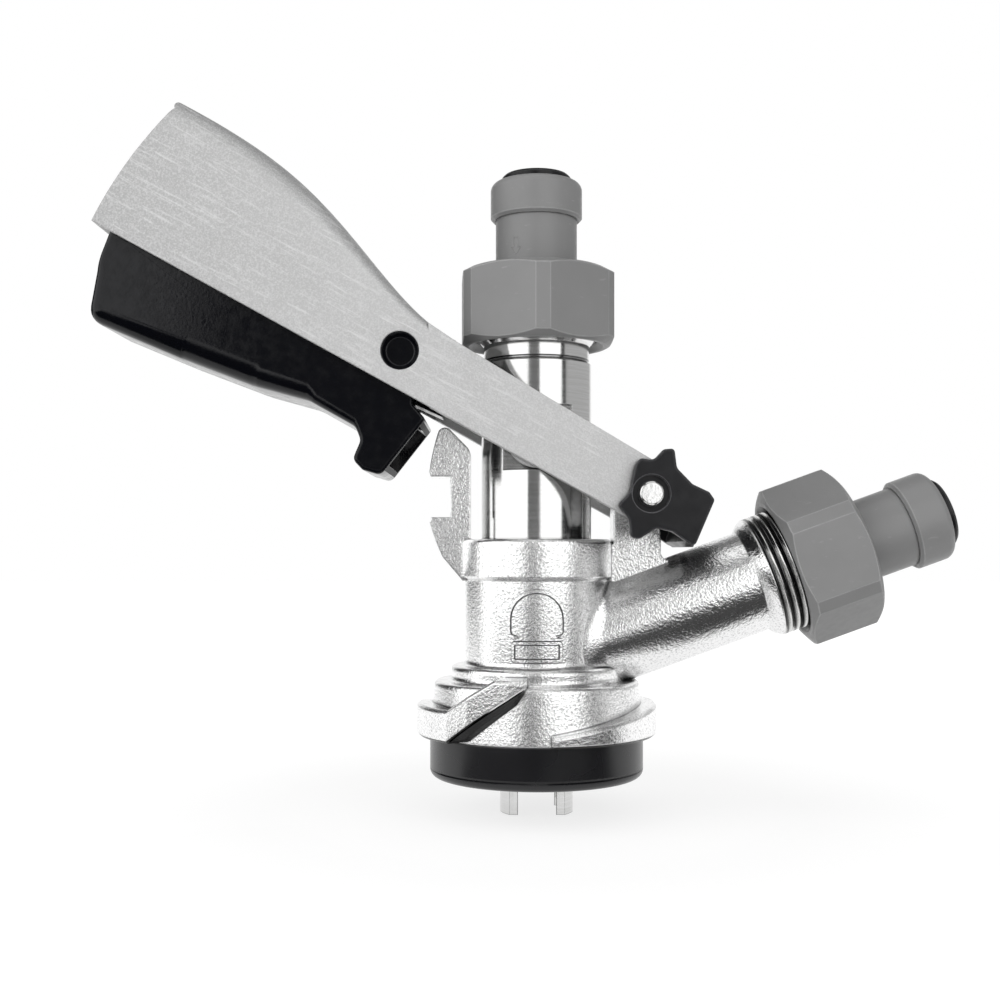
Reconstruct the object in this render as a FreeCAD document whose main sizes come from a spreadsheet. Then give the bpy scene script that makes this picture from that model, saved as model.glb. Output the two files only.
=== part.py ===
import FreeCAD, Part
import math
import os
import Sketcher

# Keg coupler of the sliding bayonet kind, with its lever raised.
# Origin: centre of the keg seal's lower face. +Z runs up the probe, the handle
# points to -X and the gas branch to +X. Millimetres.

doc = FreeCAD.newDocument("keg_coupler")
sheet = doc.addObject("Spreadsheet::Sheet", "Sizes")
cells_used = 0


class Size(float):
    """A number that also carries its formula in cells of the size sheet."""

    def __new__(cls, value, formula=None):
        size = super().__new__(cls, value)
        size.formula = formula or "({:.6f})".format(value)
        return size

    def __add__(self, other):
        return joined(self, "+", other, float(self) + float(other))

    def __radd__(self, other):
        return joined(other, "+", self, float(other) + float(self))

    def __sub__(self, other):
        return joined(self, "-", other, float(self) - float(other))

    def __rsub__(self, other):
        return joined(other, "-", self, float(other) - float(self))

    def __mul__(self, other):
        return joined(self, "*", other, float(self) * float(other))

    def __rmul__(self, other):
        return joined(other, "*", self, float(other) * float(self))

    def __truediv__(self, other):
        return joined(self, "/", other, float(self) / float(other))

    def __neg__(self):
        return joined(0, "-", self, -float(self))


def formula_of(value):
    return value.formula if isinstance(value, Size) else "({:.6f})".format(value)


def joined(left, sign, right, value):
    return Size(value, "({} {} {})".format(formula_of(left), sign, formula_of(right)))


def cosine(angle):
    return Size(math.cos(math.radians(angle)), "cos({})".format(formula_of(angle)))


def sine(angle):
    return Size(math.sin(math.radians(angle)), "sin({})".format(formula_of(angle)))


def tangent(angle):
    return Size(math.tan(math.radians(angle)), "tan({})".format(formula_of(angle)))


def root(value):
    return Size(math.sqrt(value), "sqrt({})".format(formula_of(value)))


def size(alias, value, meaning):
    """Write one driving dimension into the sheet and return it."""
    global cells_used
    cells_used += 1
    sheet.set("A{}".format(cells_used), meaning)
    sheet.set("B{}".format(cells_used), str(value))
    sheet.setAlias("B{}".format(cells_used), alias)
    return Size(value, "Sizes.{}".format(alias))


# Clearances
turning_gap = size("turning_gap", 0.05, "radial clearance of a part that turns or slides in its bore")
loose_gap = size("loose_gap", 0.3, "clearance between moving faces that never guide each other")

# Standard fittings: pipe thread G 3/4, 32 mm nut, push-in socket for 3/8 inch tube
thread_radius = size("thread_radius", 13.2, "outside radius of the parallel pipe thread")
across_flats = size("across_flats", 32.0, "union nut across flats")
tube_radius = size("tube_radius", 4.85, "bore that the drink or gas tube enters")

# Keg seal
seal_radius = size("seal_radius", 23.05, "keg seal outside radius")
seal_height = size("seal_height", 9.1, "keg seal height below the casting")
seal_edge = size("seal_edge", 1.7, "rounding of the seal's lower edge")
seal_bore = size("seal_bore", 9.6, "gas way through the seal")
spigot_radius = size("spigot_radius", 15.0, "seal spigot inside the casting")
spigot_height = size("spigot_height", 3.0, "depth of the seal spigot")

# Cast body: heights are measured from the keg seal's lower face
base_radius = size("base_radius", 23.0, "base cone at the seal")
base_top_radius = size("base_top_radius", 22.2, "base cone at its top")
base_top = size("base_top", 20.7, "height of the base cone's top")
step_radius = size("step_radius", 18.5, "step between base and barrel")
step_top = size("step_top", 24.0, "height of the step's top")
barrel_radius = size("barrel_radius", 15.5, "barrel")
barrel_top = size("barrel_top", 42.4, "underside of the collar")
collar_radius = size("collar_radius", 16.6, "collar round the probe")
collar_top = size("collar_top", 51.0, "top of the collar")
bore_mouth = size("bore_mouth", 0.6, "lead-in chamfer of the probe bore")
casting_round = size("casting_round", 1.0, "rounded edges of the casting")

# Bayonet lugs, two turned by half a turn; angles run anticlockwise from +X seen from above
lug_radius = size("lug_radius", 25.9, "outside of the bayonet lugs")
lug_root = size("lug_root", 17.0, "radius at which the lugs are rooted inside the base")
lug_chamfer = size("lug_chamfer", 0.6, "broken edges of the lugs")
lug_start = size("lug_start", 276.0, "angle at which a lug starts")
lug_start_height = size("lug_start_height", 2.4, "height of a lug's thin start")
lug_full = size("lug_full", 360.0, "angle at which a lug reaches its full height")
lug_height = size("lug_height", 6.9, "full height of a lug")
ramp_start = size("ramp_start", 403.0, "angle at which the ramp leaves the seal")
ramp_crest = size("ramp_crest", 429.0, "angle at which the ramp's top turns level")
ramp_end = size("ramp_end", 443.0, "angle at which the ramp ends")
ramp_rise = size("ramp_rise", 11.6, "climb of the ramp's lower edge")
ramp_top = size("ramp_top", 22.7, "height of the ramp's level top")

# Guide column and pivot ear, both plates on the middle plane
plate_thickness = size("plate_thickness", 9.0, "thickness of the column and the ear")
column_inner = size("column_inner", 14.2, "distance of the column's inner face from the axis")
notch_back = size("notch_back", 18.5, "distance of the latch notch's back from the axis")
notch_low = size("notch_low", 55.7, "height of the notch's lower face")
notch_high = size("notch_high", 64.4, "height of the notch's upper face")
column_shoulder = size("column_shoulder", 70.0, "height at which the column's inner face slants off")
column_top = size("column_top", 75.0, "height of the column's tip")
hook_radius = size("hook_radius", 46.2, "outer faces of the column, from the lever pivot")
ear_inner = size("ear_inner", 16.4, "distance of the ear's inner edge from the axis")
ear_outer = size("ear_outer", 26.5, "distance of the ear's outer edge from the axis")
ear_head = size("ear_head", 6.5, "round head of the ear")
pivot_x = size("pivot_x", 22.9, "lever pivot, distance from the axis")
pivot_height = size("pivot_height", 60.2, "lever pivot, height")

# Gas branch
branch_angle = size("branch_angle", 20.0, "rise of the gas branch")
branch_base = size("branch_base", 24.95, "height at which the branch meets the axis")
branch_radius = size("branch_radius", 11.1, "outside of the branch")
branch_flare = size("branch_flare", 49.5, "distance along the branch to its flare")
branch_thread = size("branch_thread", 52.0, "distance along the branch to its thread")
branch_length = size("branch_length", 67.0, "distance along the branch to its end face")
gas_port = size("gas_port", 4.0, "gas port into the probe bore")
valve_chamber = size("valve_chamber", 8.6, "chamber of the gas check valve")
valve_chamber_depth = size("valve_chamber_depth", 15.0, "depth of the check valve chamber")

# Probe
probe_radius = size("probe_radius", 11.9, "main tube of the probe")
probe_shoulder = size("probe_shoulder", 43.0, "lower end of the main tube")
neck_radius = size("neck_radius", 11.4, "neck under the thread")
neck_start = size("neck_start", 89.6, "height of the neck's lower end")
probe_thread = size("probe_thread", 93.4, "height at which the probe's thread starts")
probe_top = size("probe_top", 102.7, "end face of the probe")
tail_radius = size("tail_radius", 7.9, "lower tube of the probe")
tail_bore = size("tail_bore", 6.66, "bore of the lower tube")
tail_bore_top = size("tail_bore_top", 34.0, "height to which the lower bore runs")
tail_length = size("tail_length", 7.8, "reach of the prongs below the seal")
prong_gap = size("prong_gap", 10.5, "width left between the cuts that form the prongs")
prong_height = size("prong_height", 9.0, "height of the prongs")
beer_way = size("beer_way", 4.2, "beer way and ball seat")
ball_seat = size("ball_seat", 88.0, "height of the ball seat")
ball_chamber = size("ball_chamber", 7.2, "ball chamber")
ball_radius = size("ball_radius", 5.6, "check ball")
ball_lift = size("ball_lift", 3.0, "lift of the check ball")
cage_height = size("cage_height", 4.7, "height of the ball cage's ring")
cage_wall = size("cage_wall", 1.3, "wall of the ball cage's ring")
cage_bar = size("cage_bar", 1.6, "cross bars of the ball cage")
groove_height = size("groove_height", 13.7, "height of the drive grooves in the probe")
groove_flat = size("groove_flat", 9.4, "distance of the drive groove's flat from the middle plane")
ring_section = size("ring_section", 0.8, "section radius of the probe's sealing rings")
ring_groove_depth = size("ring_groove_depth", 1.65, "depth of the sealing ring grooves")
ring_groove_width = size("ring_groove_width", 2.2, "width of the sealing ring grooves")
upper_ring = size("upper_ring", 48.6, "height of the upper sealing ring")
lower_ring = size("lower_ring", 45.3, "height of the lower sealing ring")
beer_seal_low = size("beer_seal_low", 2.0, "height of the beer seal's lower face")
beer_seal_height = size("beer_seal_height", 6.0, "height of the beer seal")

# Union fitting, in its own frame: height 0 is the threaded end face
nut_height = size("nut_height", 16.2, "height of the union nut")
nut_overhang = size("nut_overhang", 10.0, "reach of the nut over the thread")
nut_corner = size("nut_corner", 17.6, "distance of the nut's flattened corners from its axis")
nut_face_circle = size("nut_face_circle", 15.4, "radius at which the end chamfers start")
nut_chamfer_rise = size("nut_chamfer_rise", 0.55, "rise of the end chamfers for each unit of radius")
nut_mouth = size("nut_mouth", 14.6, "radius of the nut's chamfered mouth")
thread_gap = size("thread_gap", 0.08, "clearance drawn between nut and thread")
washer_thickness = size("washer_thickness", 2.0, "sealing washer")
flange_radius = size("flange_radius", 12.6, "adapter flange")
flange_thickness = size("flange_thickness", 2.2, "adapter flange thickness")
stem_radius = size("stem_radius", 8.8, "adapter stem")
stem_bore = size("stem_bore", 4.0, "bore of the adapter below the tube stop")
tube_stop = size("tube_stop", 7.0, "height of the tube stop")
ring_pocket = size("ring_pocket", 12.6, "height of the tube seal's pocket")
ring_pocket_radius = size("ring_pocket_radius", 6.7, "radius of the tube seal's pocket")
tube_ring_section = size("tube_ring_section", 0.9, "section radius of the tube seal")
cap_bottom = size("cap_bottom", 17.3, "lower face of the end cap")
cap_spigot = size("cap_spigot", 2.7, "height of the stem's spigot inside the cap")
cap_spigot_radius = size("cap_spigot_radius", 8.1, "radius of that spigot")
cap_radius = size("cap_radius", 9.9, "outside of the end cap")
cap_height = size("cap_height", 8.2, "height of the end cap")
cap_round = size("cap_round", 1.8, "rounded top edge of the end cap")
cap_throat = size("cap_throat", 6.3, "throat that holds the collet")
cap_throat_low = size("cap_throat_low", 21.3, "lower face of the throat")
cap_counterbore_low = size("cap_counterbore_low", 22.6, "floor of the cap's counterbore")
collet_head = size("collet_head", 7.45, "collet head radius")
collet_top = size("collet_top", 27.05, "top of the collet head")
collet_head_height = size("collet_head_height", 2.6, "height of the collet head")
collet_sleeve = size("collet_sleeve", 5.95, "collet sleeve radius")
collet_claw = size("collet_claw", 6.9, "radius of the collet's claws")
collet_claw_height = size("collet_claw_height", 1.8, "height of the claws")
collet_bottom = size("collet_bottom", 18.4, "lower end of the collet")
collet_slot = size("collet_slot", 0.9, "slots between the collet's fingers")
collet_slot_height = size("collet_slot_height", 4.5, "height of those slots")

# Lever
arm_inner = size("arm_inner", 12.4, "inner face of the lever arms from the middle plane")
arm_outer = size("arm_outer", 15.8, "outer face of the lever arms from the middle plane")
arm_slope = size("arm_slope", 28.85, "rise of the lever's lower edge towards the handle")
arm_end_radius = size("arm_end_radius", 6.3, "round end of the arms at the pivot")
edge_height = size("edge_height", 65.8, "height of the arms' lower edge over the axis")
boss_radius = size("boss_radius", 6.55, "drive bosses on the arms' inner faces")
boss_height = size("boss_height", 72.35, "height of the drive bosses with the lever raised")
boss_reach = size("boss_reach", 9.65, "distance of the drive bosses' faces from the middle plane")
hub_radius = size("hub_radius", 6.3, "pivot hubs on the arms' inner faces")
pin_radius = size("pin_radius", 4.2, "pivot pin")
pin_neck = size("pin_neck", 2.45, "neck at each end of the pin")
pin_length = size("pin_length", 39.4, "length of the pivot pin")
shell_wall = size("shell_wall", 1.9, "wall of the handle shell")
shell_roof = size("shell_roof", 2.4, "roof of the handle shell")
shell_start = size("shell_start", 17.0, "distance from the axis at which the handle shell starts")
shell_end = size("shell_end", 96.0, "distance from the axis that the handle shell runs past")
nut_clearance_radius = size("nut_clearance_radius", 19.6, "round cut in the shell beside the beer nut")

# Trigger
trigger_x = size("trigger_x", 28.5, "trigger pivot, distance from the axis")
trigger_height = size("trigger_height", 89.7, "trigger pivot, height")
trigger_boss = size("trigger_boss", 4.0, "radius of the trigger pivot holes")
trigger_half = size("trigger_half", 13.6, "half width of the trigger")
trigger_wall = size("trigger_wall", 2.0, "wall of the trigger")
trigger_recess = size("trigger_recess", 2.9, "recess in the trigger pivot bosses")
tooth_half = size("tooth_half", 3.6, "half width of the latch tooth")

tooth_low = size("tooth_low", 21.5, "angle of the tooth's lower corner over the lever pivot")
tooth_high = size("tooth_high", 28.0, "angle of the tooth's upper corner over the lever pivot")
trigger_round = size("trigger_round", 4.5, "rounded lower edges of the grip")
spring_coil = size("spring_coil", 4.6, "mean coil radius of the trigger spring")
spring_wire = size("spring_wire", 0.5, "wire radius of the trigger spring")
spring_length = size("spring_length", 4.2, "length of the trigger spring's coil")
spring_lean = size("spring_lean", 17.0, "rise of the spring's lower leg towards the handle")
spring_upper_leg = size("spring_upper_leg", 37.0, "angle at which the spring's upper leg leaves the coil")
spring_lower_length = size("spring_lower_length", 13.0, "length of the lower leg")
spring_upper_length = size("spring_upper_length", 4.6, "length of the upper leg")

# Pivot clip
clip_inner = size("clip_inner", 16.1, "inner faces of the clip legs from the middle plane")
clip_outer = size("clip_outer", 18.6, "outer faces of the clip legs from the middle plane")
clip_recess = size("clip_recess", 3.9, "recess round the pin neck")
clip_recess_depth = size("clip_recess_depth", 1.3, "depth of that recess")
clip_mouth = size("clip_mouth", 3.2, "opening of the clip's snap")

doc.recompute()

# Values that follow from the driving dimensions
bore_radius = probe_radius + turning_gap
half_plate = plate_thickness / 2
nut_bore = thread_radius + thread_gap
nut_bottom = -nut_overhang
nut_top = nut_height - nut_overhang
flange_top = washer_thickness + flange_thickness
cap_top = cap_bottom + cap_height
ball_drop = root(ball_radius * ball_radius - beer_way * beer_way)
ball_height = ball_seat + ball_drop + turning_gap * 2


def bind(item, prop, value):
    """Give a property its value and tie it to the sheet's cells."""
    item.setExpression(prop, formula_of(value))


def new_body(name):
    """Start one sub-part; its label is the name of its file."""
    body = doc.addObject("PartDesign::Body", name)
    body.Label = name
    return body


def origin_plane(body, role):
    return [part for part in body.Origin.OriginFeatures if part.Role == role][0]


def new_sketch(body, role="XZ_Plane", name="Outline", shift=None, turn=None):
    """Attach a sketch to one of the body's origin planes, shifted along or turned in it."""
    sketch = body.newObject("Sketcher::SketchObject", name)
    sketch.AttachmentSupport = [(origin_plane(body, role), "")]
    sketch.MapMode = "FlatFace"
    if shift is not None:
        bind(sketch, "AttachmentOffset.Base.z", shift)
    if turn is not None:
        upright = FreeCAD.Rotation(FreeCAD.Vector(0, 1, 0), float(turn))
        sketch.AttachmentOffset = FreeCAD.Placement(FreeCAD.Vector(), upright)
        bind(sketch, "AttachmentOffset.Rotation.Angle", turn)
    return sketch


def place_point(sketch, index, end, point):
    """Tie one end of a sketch element to its coordinates."""
    for axis, value in (("X", point[0]), ("Y", point[1])):
        rule = Sketcher.Constraint("Distance" + axis, -1, 1, index, end, float(value))
        number = sketch.addConstraint(rule)
        sketch.setExpression("Constraints[{}]".format(number), formula_of(value))


def arc_through(start, finish, radius, side):
    """Arc from start to finish; side +1 has its centre to the left of the way."""
    a = FreeCAD.Vector(float(start[0]), float(start[1]), 0)
    b = FreeCAD.Vector(float(finish[0]), float(finish[1]), 0)
    chord = b - a
    rise = math.sqrt(max(float(radius) ** 2 - (chord.Length / 2) ** 2, 0.0))
    left = FreeCAD.Vector(-chord.y, chord.x, 0)
    left.normalize()
    centre = (a + b) * 0.5 + left * (rise * side)
    from_angle = math.atan2(a.y - centre.y, a.x - centre.x)
    to_angle = math.atan2(b.y - centre.y, b.x - centre.x)
    circle = Part.Circle(centre, FreeCAD.Vector(0, 0, 1), float(radius))
    if side > 0:
        return Part.ArcOfCircle(circle, from_angle, to_angle), 1, 2
    return Part.ArcOfCircle(circle, to_angle, from_angle), 2, 1


def draw_outline(sketch, points):
    """Draw a closed outline. A point (x, y) is reached by a line, and
    (x, y, radius, side) by an arc of that radius, its centre on that side."""
    ends = []
    for number, point in enumerate(points):
        before = points[number - 1]
        if len(point) == 2:
            line = Part.LineSegment(
                FreeCAD.Vector(float(before[0]), float(before[1]), 0),
                FreeCAD.Vector(float(point[0]), float(point[1]), 0))
            index, first, last = sketch.addGeometry(line, False), 1, 2
        else:
            arc, first, last = arc_through(before, point, point[2], point[3])
            index = sketch.addGeometry(arc, False)
        ends.append((index, first, last))
    for number, (index, first, last) in enumerate(ends):
        before_index, _, before_last = ends[number - 1]
        sketch.addConstraint(
            Sketcher.Constraint("Coincident", before_index, before_last, index, first))
    for number, (index, first, last) in enumerate(ends):
        place_point(sketch, index, last, points[number])
        if len(points[number]) == 4:
            rule = sketch.addConstraint(
                Sketcher.Constraint("Radius", index, float(points[number][2])))
            bind(sketch, "Constraints[{}]".format(rule), points[number][2])


def draw_circle(sketch, centre, radius):
    circle = Part.Circle(
        FreeCAD.Vector(float(centre[0]), float(centre[1]), 0), FreeCAD.Vector(0, 0, 1), float(radius))
    index = sketch.addGeometry(circle, False)
    place_point(sketch, index, 3, centre)
    rule = sketch.addConstraint(Sketcher.Constraint("Radius", index, float(radius)))
    bind(sketch, "Constraints[{}]".format(rule), radius)


def revolve(body, points, name="Turned", cut=False, axis=None):
    """Turn an outline in the XZ plane about +Z, or about a construction line."""
    sketch = new_sketch(body, name=name + "Outline")
    draw_outline(sketch, points)
    kind = "PartDesign::Groove" if cut else "PartDesign::Revolution"
    turned = body.newObject(kind, name)
    turned.Profile = sketch
    if axis is None:
        turned.ReferenceAxis = (sketch, ["V_Axis"])
    else:
        end = FreeCAD.Vector(float(axis[1][0]), float(axis[1][1]), 0)
        start = FreeCAD.Vector(float(axis[0][0]), float(axis[0][1]), 0)
        line = sketch.addGeometry(Part.LineSegment(start, end), True)
        place_point(sketch, line, 1, axis[0])
        place_point(sketch, line, 2, axis[1])
        turned.ReferenceAxis = (sketch, ["Axis0"])
    turned.Angle = 360
    return turned


def pad(body, draw, length, name, role="XZ_Plane", shift=None, midplane=True, reverse=False, cut=False):
    """Extrude what draw puts in a sketch; cut removes it instead."""
    sketch = new_sketch(body, role, name + "Outline", shift)
    draw(sketch)
    feature = body.newObject("PartDesign::Pocket" if cut else "PartDesign::Pad", name)
    feature.Profile = sketch
    bind(feature, "Length", length)
    feature.Midplane = midplane
    feature.Reversed = reverse
    return feature


def outline(points):
    return lambda sketch: draw_outline(sketch, points)


def disc(centre, radius):
    return lambda sketch: draw_circle(sketch, centre, radius)


def edges_where(feature, test):
    """Names of a feature's edges whose geometry passes a test."""
    doc.recompute()
    return ["Edge{}".format(number + 1) for number, edge in enumerate(feature.Shape.Edges) if test(edge)]


def round_edges(body, feature, radius, test, name="Rounded", kind="Fillet"):
    dressed = body.newObject("PartDesign::" + kind, name)
    dressed.Base = (feature, edges_where(feature, test))
    bind(dressed, "Radius" if kind == "Fillet" else "Size", radius)
    return dressed


def lift(body, height, tilt=None):
    """Stand a body built about its own axis on the probe's axis or on the gas branch."""
    if tilt is None:
        bind(body, "Placement.Base.z", height)
        return
    lean = FreeCAD.Rotation(FreeCAD.Vector(0, 1, 0), 90.0 - float(tilt))
    body.Placement = FreeCAD.Placement(FreeCAD.Vector(), lean)
    bind(body, "Placement.Rotation.Angle", 90.0 - tilt)
    bind(body, "Placement.Base.x", height * cosine(tilt))
    bind(body, "Placement.Base.z", branch_base + height * sine(tilt))


def build_seal():
    """Rubber disc that seals the coupler on the keg valve, with a spigot and a lip."""
    body = new_body("keg_seal")
    lip_height = seal_edge / 2
    revolve(body, [
        (seal_bore, lip_height),
        (seal_bore + lip_height, Size(0.0)),
        (seal_radius - seal_edge, Size(0.0)),
        (seal_radius, seal_edge, seal_edge, 1),
        (seal_radius, seal_height),
        (spigot_radius, seal_height),
        (spigot_radius, seal_height + spigot_height),
        (seal_bore, seal_height + spigot_height),
    ])
    return body


def lug_section(body, angle, low, high, name):
    """One radial section of a lug: a bar with broken outer edges."""
    sketch = new_sketch(body, name=name, turn=angle)
    draw_outline(sketch, [
        (lug_root, low),
        (lug_radius - lug_chamfer, low),
        (lug_radius, low + lug_chamfer),
        (lug_radius, high - lug_chamfer),
        (lug_radius - lug_chamfer, high),
        (lug_root, high),
    ])
    return sketch


def loft(body, sections, name, cut=False, ruled=False):
    lofted = body.newObject("PartDesign::SubtractiveLoft" if cut else "PartDesign::AdditiveLoft", name)
    lofted.Profile = sections[0]
    lofted.Sections = sections[1:]
    lofted.Ruled = ruled
    return lofted


def build_casting():
    """Cast body: base with bayonet lugs, barrel, collar, guide column, pivot ear and gas branch."""
    body = new_body("coupler_body")
    seat = seal_height + spigot_height
    revolve(body, [
        (bore_radius, seat),
        (spigot_radius, seat),
        (spigot_radius, seal_height),
        (base_radius, seal_height),
        (base_top_radius, base_top - casting_round),
        (base_top_radius - casting_round, base_top, casting_round, 1),
        (step_radius + casting_round, base_top),
        (step_radius, base_top + casting_round, casting_round, -1),
        (step_radius, step_top - casting_round),
        (step_radius - casting_round, step_top, casting_round, 1),
        (barrel_radius + casting_round, step_top),
        (barrel_radius, step_top + casting_round, casting_round, -1),
        (barrel_radius, barrel_top),
        (collar_radius, barrel_top + casting_round / 2),
        (collar_radius, collar_top - casting_round),
        (collar_radius - casting_round, collar_top, casting_round, 1),
        (bore_radius + bore_mouth, collar_top),
        (bore_radius, collar_top - bore_mouth),
    ], name="Core")

    # The two lugs: a bar whose top climbs to full height, then a steep ramp
    lug_low = seal_height
    lug_stations = [
        (lug_start, lug_start_height),
        (lug_start + (lug_full - lug_start) / 3, lug_start_height + (lug_height - lug_start_height) * 0.42),
        (lug_start + (lug_full - lug_start) * 2 / 3, lug_start_height + (lug_height - lug_start_height) * 0.8),
        (lug_full, lug_height),
        (lug_full + (ramp_start - lug_full) / 2, lug_height),
        (ramp_start, lug_height),
    ]
    climb = ramp_rise / (ramp_end - ramp_start)
    ramp_stations = [
        (ramp_start, lug_low, lug_low + lug_height),
        ((ramp_start + ramp_crest) / 2, lug_low + climb * (ramp_crest - ramp_start) / 2,
         (lug_low + lug_height + ramp_top) / 2),
        (ramp_crest, lug_low + climb * (ramp_crest - ramp_start), ramp_top),
        ((ramp_crest + ramp_end) / 2, lug_low + climb * ((ramp_crest + ramp_end) / 2 - ramp_start), ramp_top),
        (ramp_end, lug_low + ramp_rise, ramp_top),
    ]
    for side, turn in (("Front", 180), ("Back", 0)):
        bar = [
            lug_section(body, angle + turn, lug_low, lug_low + high, "{}Bar{}".format(side, number))
            for number, (angle, high) in enumerate(lug_stations)]
        loft(body, bar, side + "Lug")
        ramp = [
            lug_section(body, angle + turn, low, high, "{}Ramp{}".format(side, number))
            for number, (angle, low, high) in enumerate(ramp_stations)]
        loft(body, ramp, side + "RampBand", ruled=True)

    # Guide column with its latch notch between two hooks
    root_x = -(bore_radius + barrel_radius) / 2
    pad(body, outline([
        (root_x, barrel_top),
        (root_x, collar_top - casting_round),
        (-column_inner, collar_top - casting_round),
        (-column_inner, column_shoulder - casting_round),
        (-column_inner - casting_round, column_shoulder + casting_round, casting_round * 3, 1),
        (-(column_inner + 4.4), column_top - 0.5),
        (-(column_inner + 6.9), column_top - 1.0, Size(1.6), 1),
        (hook_x(notch_high + 0.9), notch_high + 0.9, hook_radius, 1),
        (hook_x(notch_high) + 0.4, notch_high),
        (-notch_back, notch_high),
        (-notch_back, notch_low),
        (hook_x(notch_low) + 0.5, notch_low),
        (hook_x(notch_low - 0.8), notch_low - 0.8),
        (-(column_inner + 6.0), barrel_top + 4.8, Size(40.0), 1),
        (-barrel_radius - 0.4, barrel_top - 0.3),
    ]), plate_thickness, "Column")

    # Pivot ear, rooted in the collar and the branch
    reach = root(ear_head * ear_head - (pivot_x - ear_inner) * (pivot_x - ear_inner) * 0.98)
    top_of_branch = branch_base + branch_radius / cosine(branch_angle) - 2.4
    rise = tangent(branch_angle)
    pad(body, outline([
        (collar_radius - 2.0, top_of_branch + (collar_radius - 2.0) * rise),
        (ear_outer + 1.6, top_of_branch + (ear_outer + 1.6) * rise),
        (ear_outer + 1.6, top_of_branch + (ear_outer + 1.6) * rise + 1.9),
        (ear_outer, top_of_branch + ear_outer * rise + 4.0, Size(2.0), -1),
        (ear_outer, pivot_height - 3.0),
        (ear_inner, pivot_height - reach),
        (ear_inner, collar_top - casting_round),
        (collar_radius - 2.0, collar_top - casting_round),
    ]), plate_thickness, "Ear")
    pad(body, disc((pivot_x, pivot_height), ear_head), plate_thickness, "EarHead")

    # Gas branch, turned about its own rising axis
    along = cosine(branch_angle)
    up = sine(branch_angle)

    def on_branch(distance, radius):
        return (distance * along - radius * up, branch_base + distance * up + radius * along)

    revolve(body, [
        on_branch(bore_radius, Size(0.0)),
        on_branch(branch_length, Size(0.0)),
        on_branch(branch_length, thread_radius - 0.8),
        on_branch(branch_length - 0.8, thread_radius),
        on_branch(branch_thread, thread_radius),
        on_branch(branch_flare, branch_radius) + (Size(7.0), 1),
        on_branch(bore_radius, branch_radius),
    ], name="Branch", axis=(on_branch(Size(0.0), Size(0.0)), on_branch(branch_length, Size(0.0))))
    revolve(body, [
        on_branch(Size(6.0), Size(0.0)),
        on_branch(branch_length + 1.0, Size(0.0)),
        on_branch(branch_length + 1.0, valve_chamber),
        on_branch(branch_length - valve_chamber_depth, valve_chamber),
        on_branch(branch_length - valve_chamber_depth - 4.0, gas_port),
        on_branch(Size(6.0), gas_port),
    ], name="GasWay", cut=True, axis=(on_branch(Size(0.0), Size(0.0)), on_branch(branch_length, Size(0.0))))

    # Bores: the probe bore is opened again through whatever the branch and ear added
    pad(body, disc((Size(0.0), Size(0.0)), bore_radius), collar_top, "ProbeBore", role="XY_Plane",
        midplane=False, reverse=True, cut=True)
    pad(body, disc((pivot_x, pivot_height), pin_radius + turning_gap), plate_thickness + 1.0, "PivotBore", cut=True)
    return body


def hook_x(height):
    """Where the column's outer face, an arc about the pivot, stands at a height."""
    rise = height - pivot_height
    return pivot_x - root(hook_radius * hook_radius - rise * rise)


def build_probe():
    """Turned steel probe: beer way, ball chamber, sealing ring grooves, drive grooves and prongs."""
    body = new_body("probe")
    groove_root = probe_radius - ring_groove_depth
    half_groove = ring_groove_width / 2
    waist = Size(0.5)
    points = [
        (tail_bore, -tail_length),
        (tail_radius, -tail_length),
        (tail_radius, probe_shoulder - 3.0),
        (probe_radius, probe_shoulder),
    ]
    for middle in (lower_ring, upper_ring):
        points += [
            (probe_radius, middle - half_groove),
            (groove_root, middle - half_groove),
            (groove_root, middle + half_groove),
            (probe_radius, middle + half_groove),
        ]
    points += [
        (probe_radius, neck_start - waist * 2),
        (probe_radius - waist, neck_start - waist),
        (neck_radius - waist, neck_start - waist),
        (neck_radius - waist, neck_start),
        (neck_radius, neck_start),
        (neck_radius, probe_thread - 0.8),
        (thread_radius, probe_thread + 0.8),
        (thread_radius, probe_top - 0.8),
        (thread_radius - 0.8, probe_top),
        (ball_chamber, probe_top),
        (ball_chamber, ball_seat + ball_chamber - beer_way),
        (beer_way, ball_seat),
        (beer_way, tail_bore_top + 2.0),
        (tail_bore, tail_bore_top),
    ]
    revolve(body, points)
    for side, reverse in (("Front", False), ("Back", True)):
        shift = groove_flat if side == "Front" else -groove_flat
        pad(body, outline([
            (-probe_radius, boss_height - groove_height / 2),
            (probe_radius, boss_height - groove_height / 2),
            (probe_radius, boss_height + groove_height / 2),
            (-probe_radius, boss_height + groove_height / 2),
        ]), probe_radius - groove_flat + 0.5, side + "DriveGroove", shift=shift, midplane=False,
            reverse=(side == "Front"), cut=True)
        pad(body, outline([
            (-tail_radius - 1.0, -tail_length - 1.0),
            (tail_radius + 1.0, -tail_length - 1.0),
            (tail_radius + 1.0, prong_height - tail_length),
            (-tail_radius - 1.0, prong_height - tail_length),
        ]), tail_radius - prong_gap / 2 + 0.5, side + "ProngCut",
            shift=prong_gap / 2 if side == "Front" else -prong_gap / 2, midplane=False,
            reverse=(side == "Front"), cut=True)
    return body


def build_ring(name, section, middle_radius, height, tilt=None):
    """Sealing ring of round section."""
    ring = doc.addObject("Part::Torus", name)
    ring.Label = name
    bind(ring, "Radius1", middle_radius)
    bind(ring, "Radius2", section)
    lift(ring, height, tilt)
    return ring


def build_beer_seal():
    """Rubber seal on the probe's tail."""
    body = new_body("beer_seal")
    high = beer_seal_low + beer_seal_height
    outer = seal_bore - loose_gap
    revolve(body, [
        (tail_radius, beer_seal_low),
        (outer - 0.4, beer_seal_low),
        (outer, beer_seal_low + 0.4),
        (outer, high - 0.4),
        (outer - 0.4, high),
        (tail_radius, high),
    ])
    return body


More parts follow.
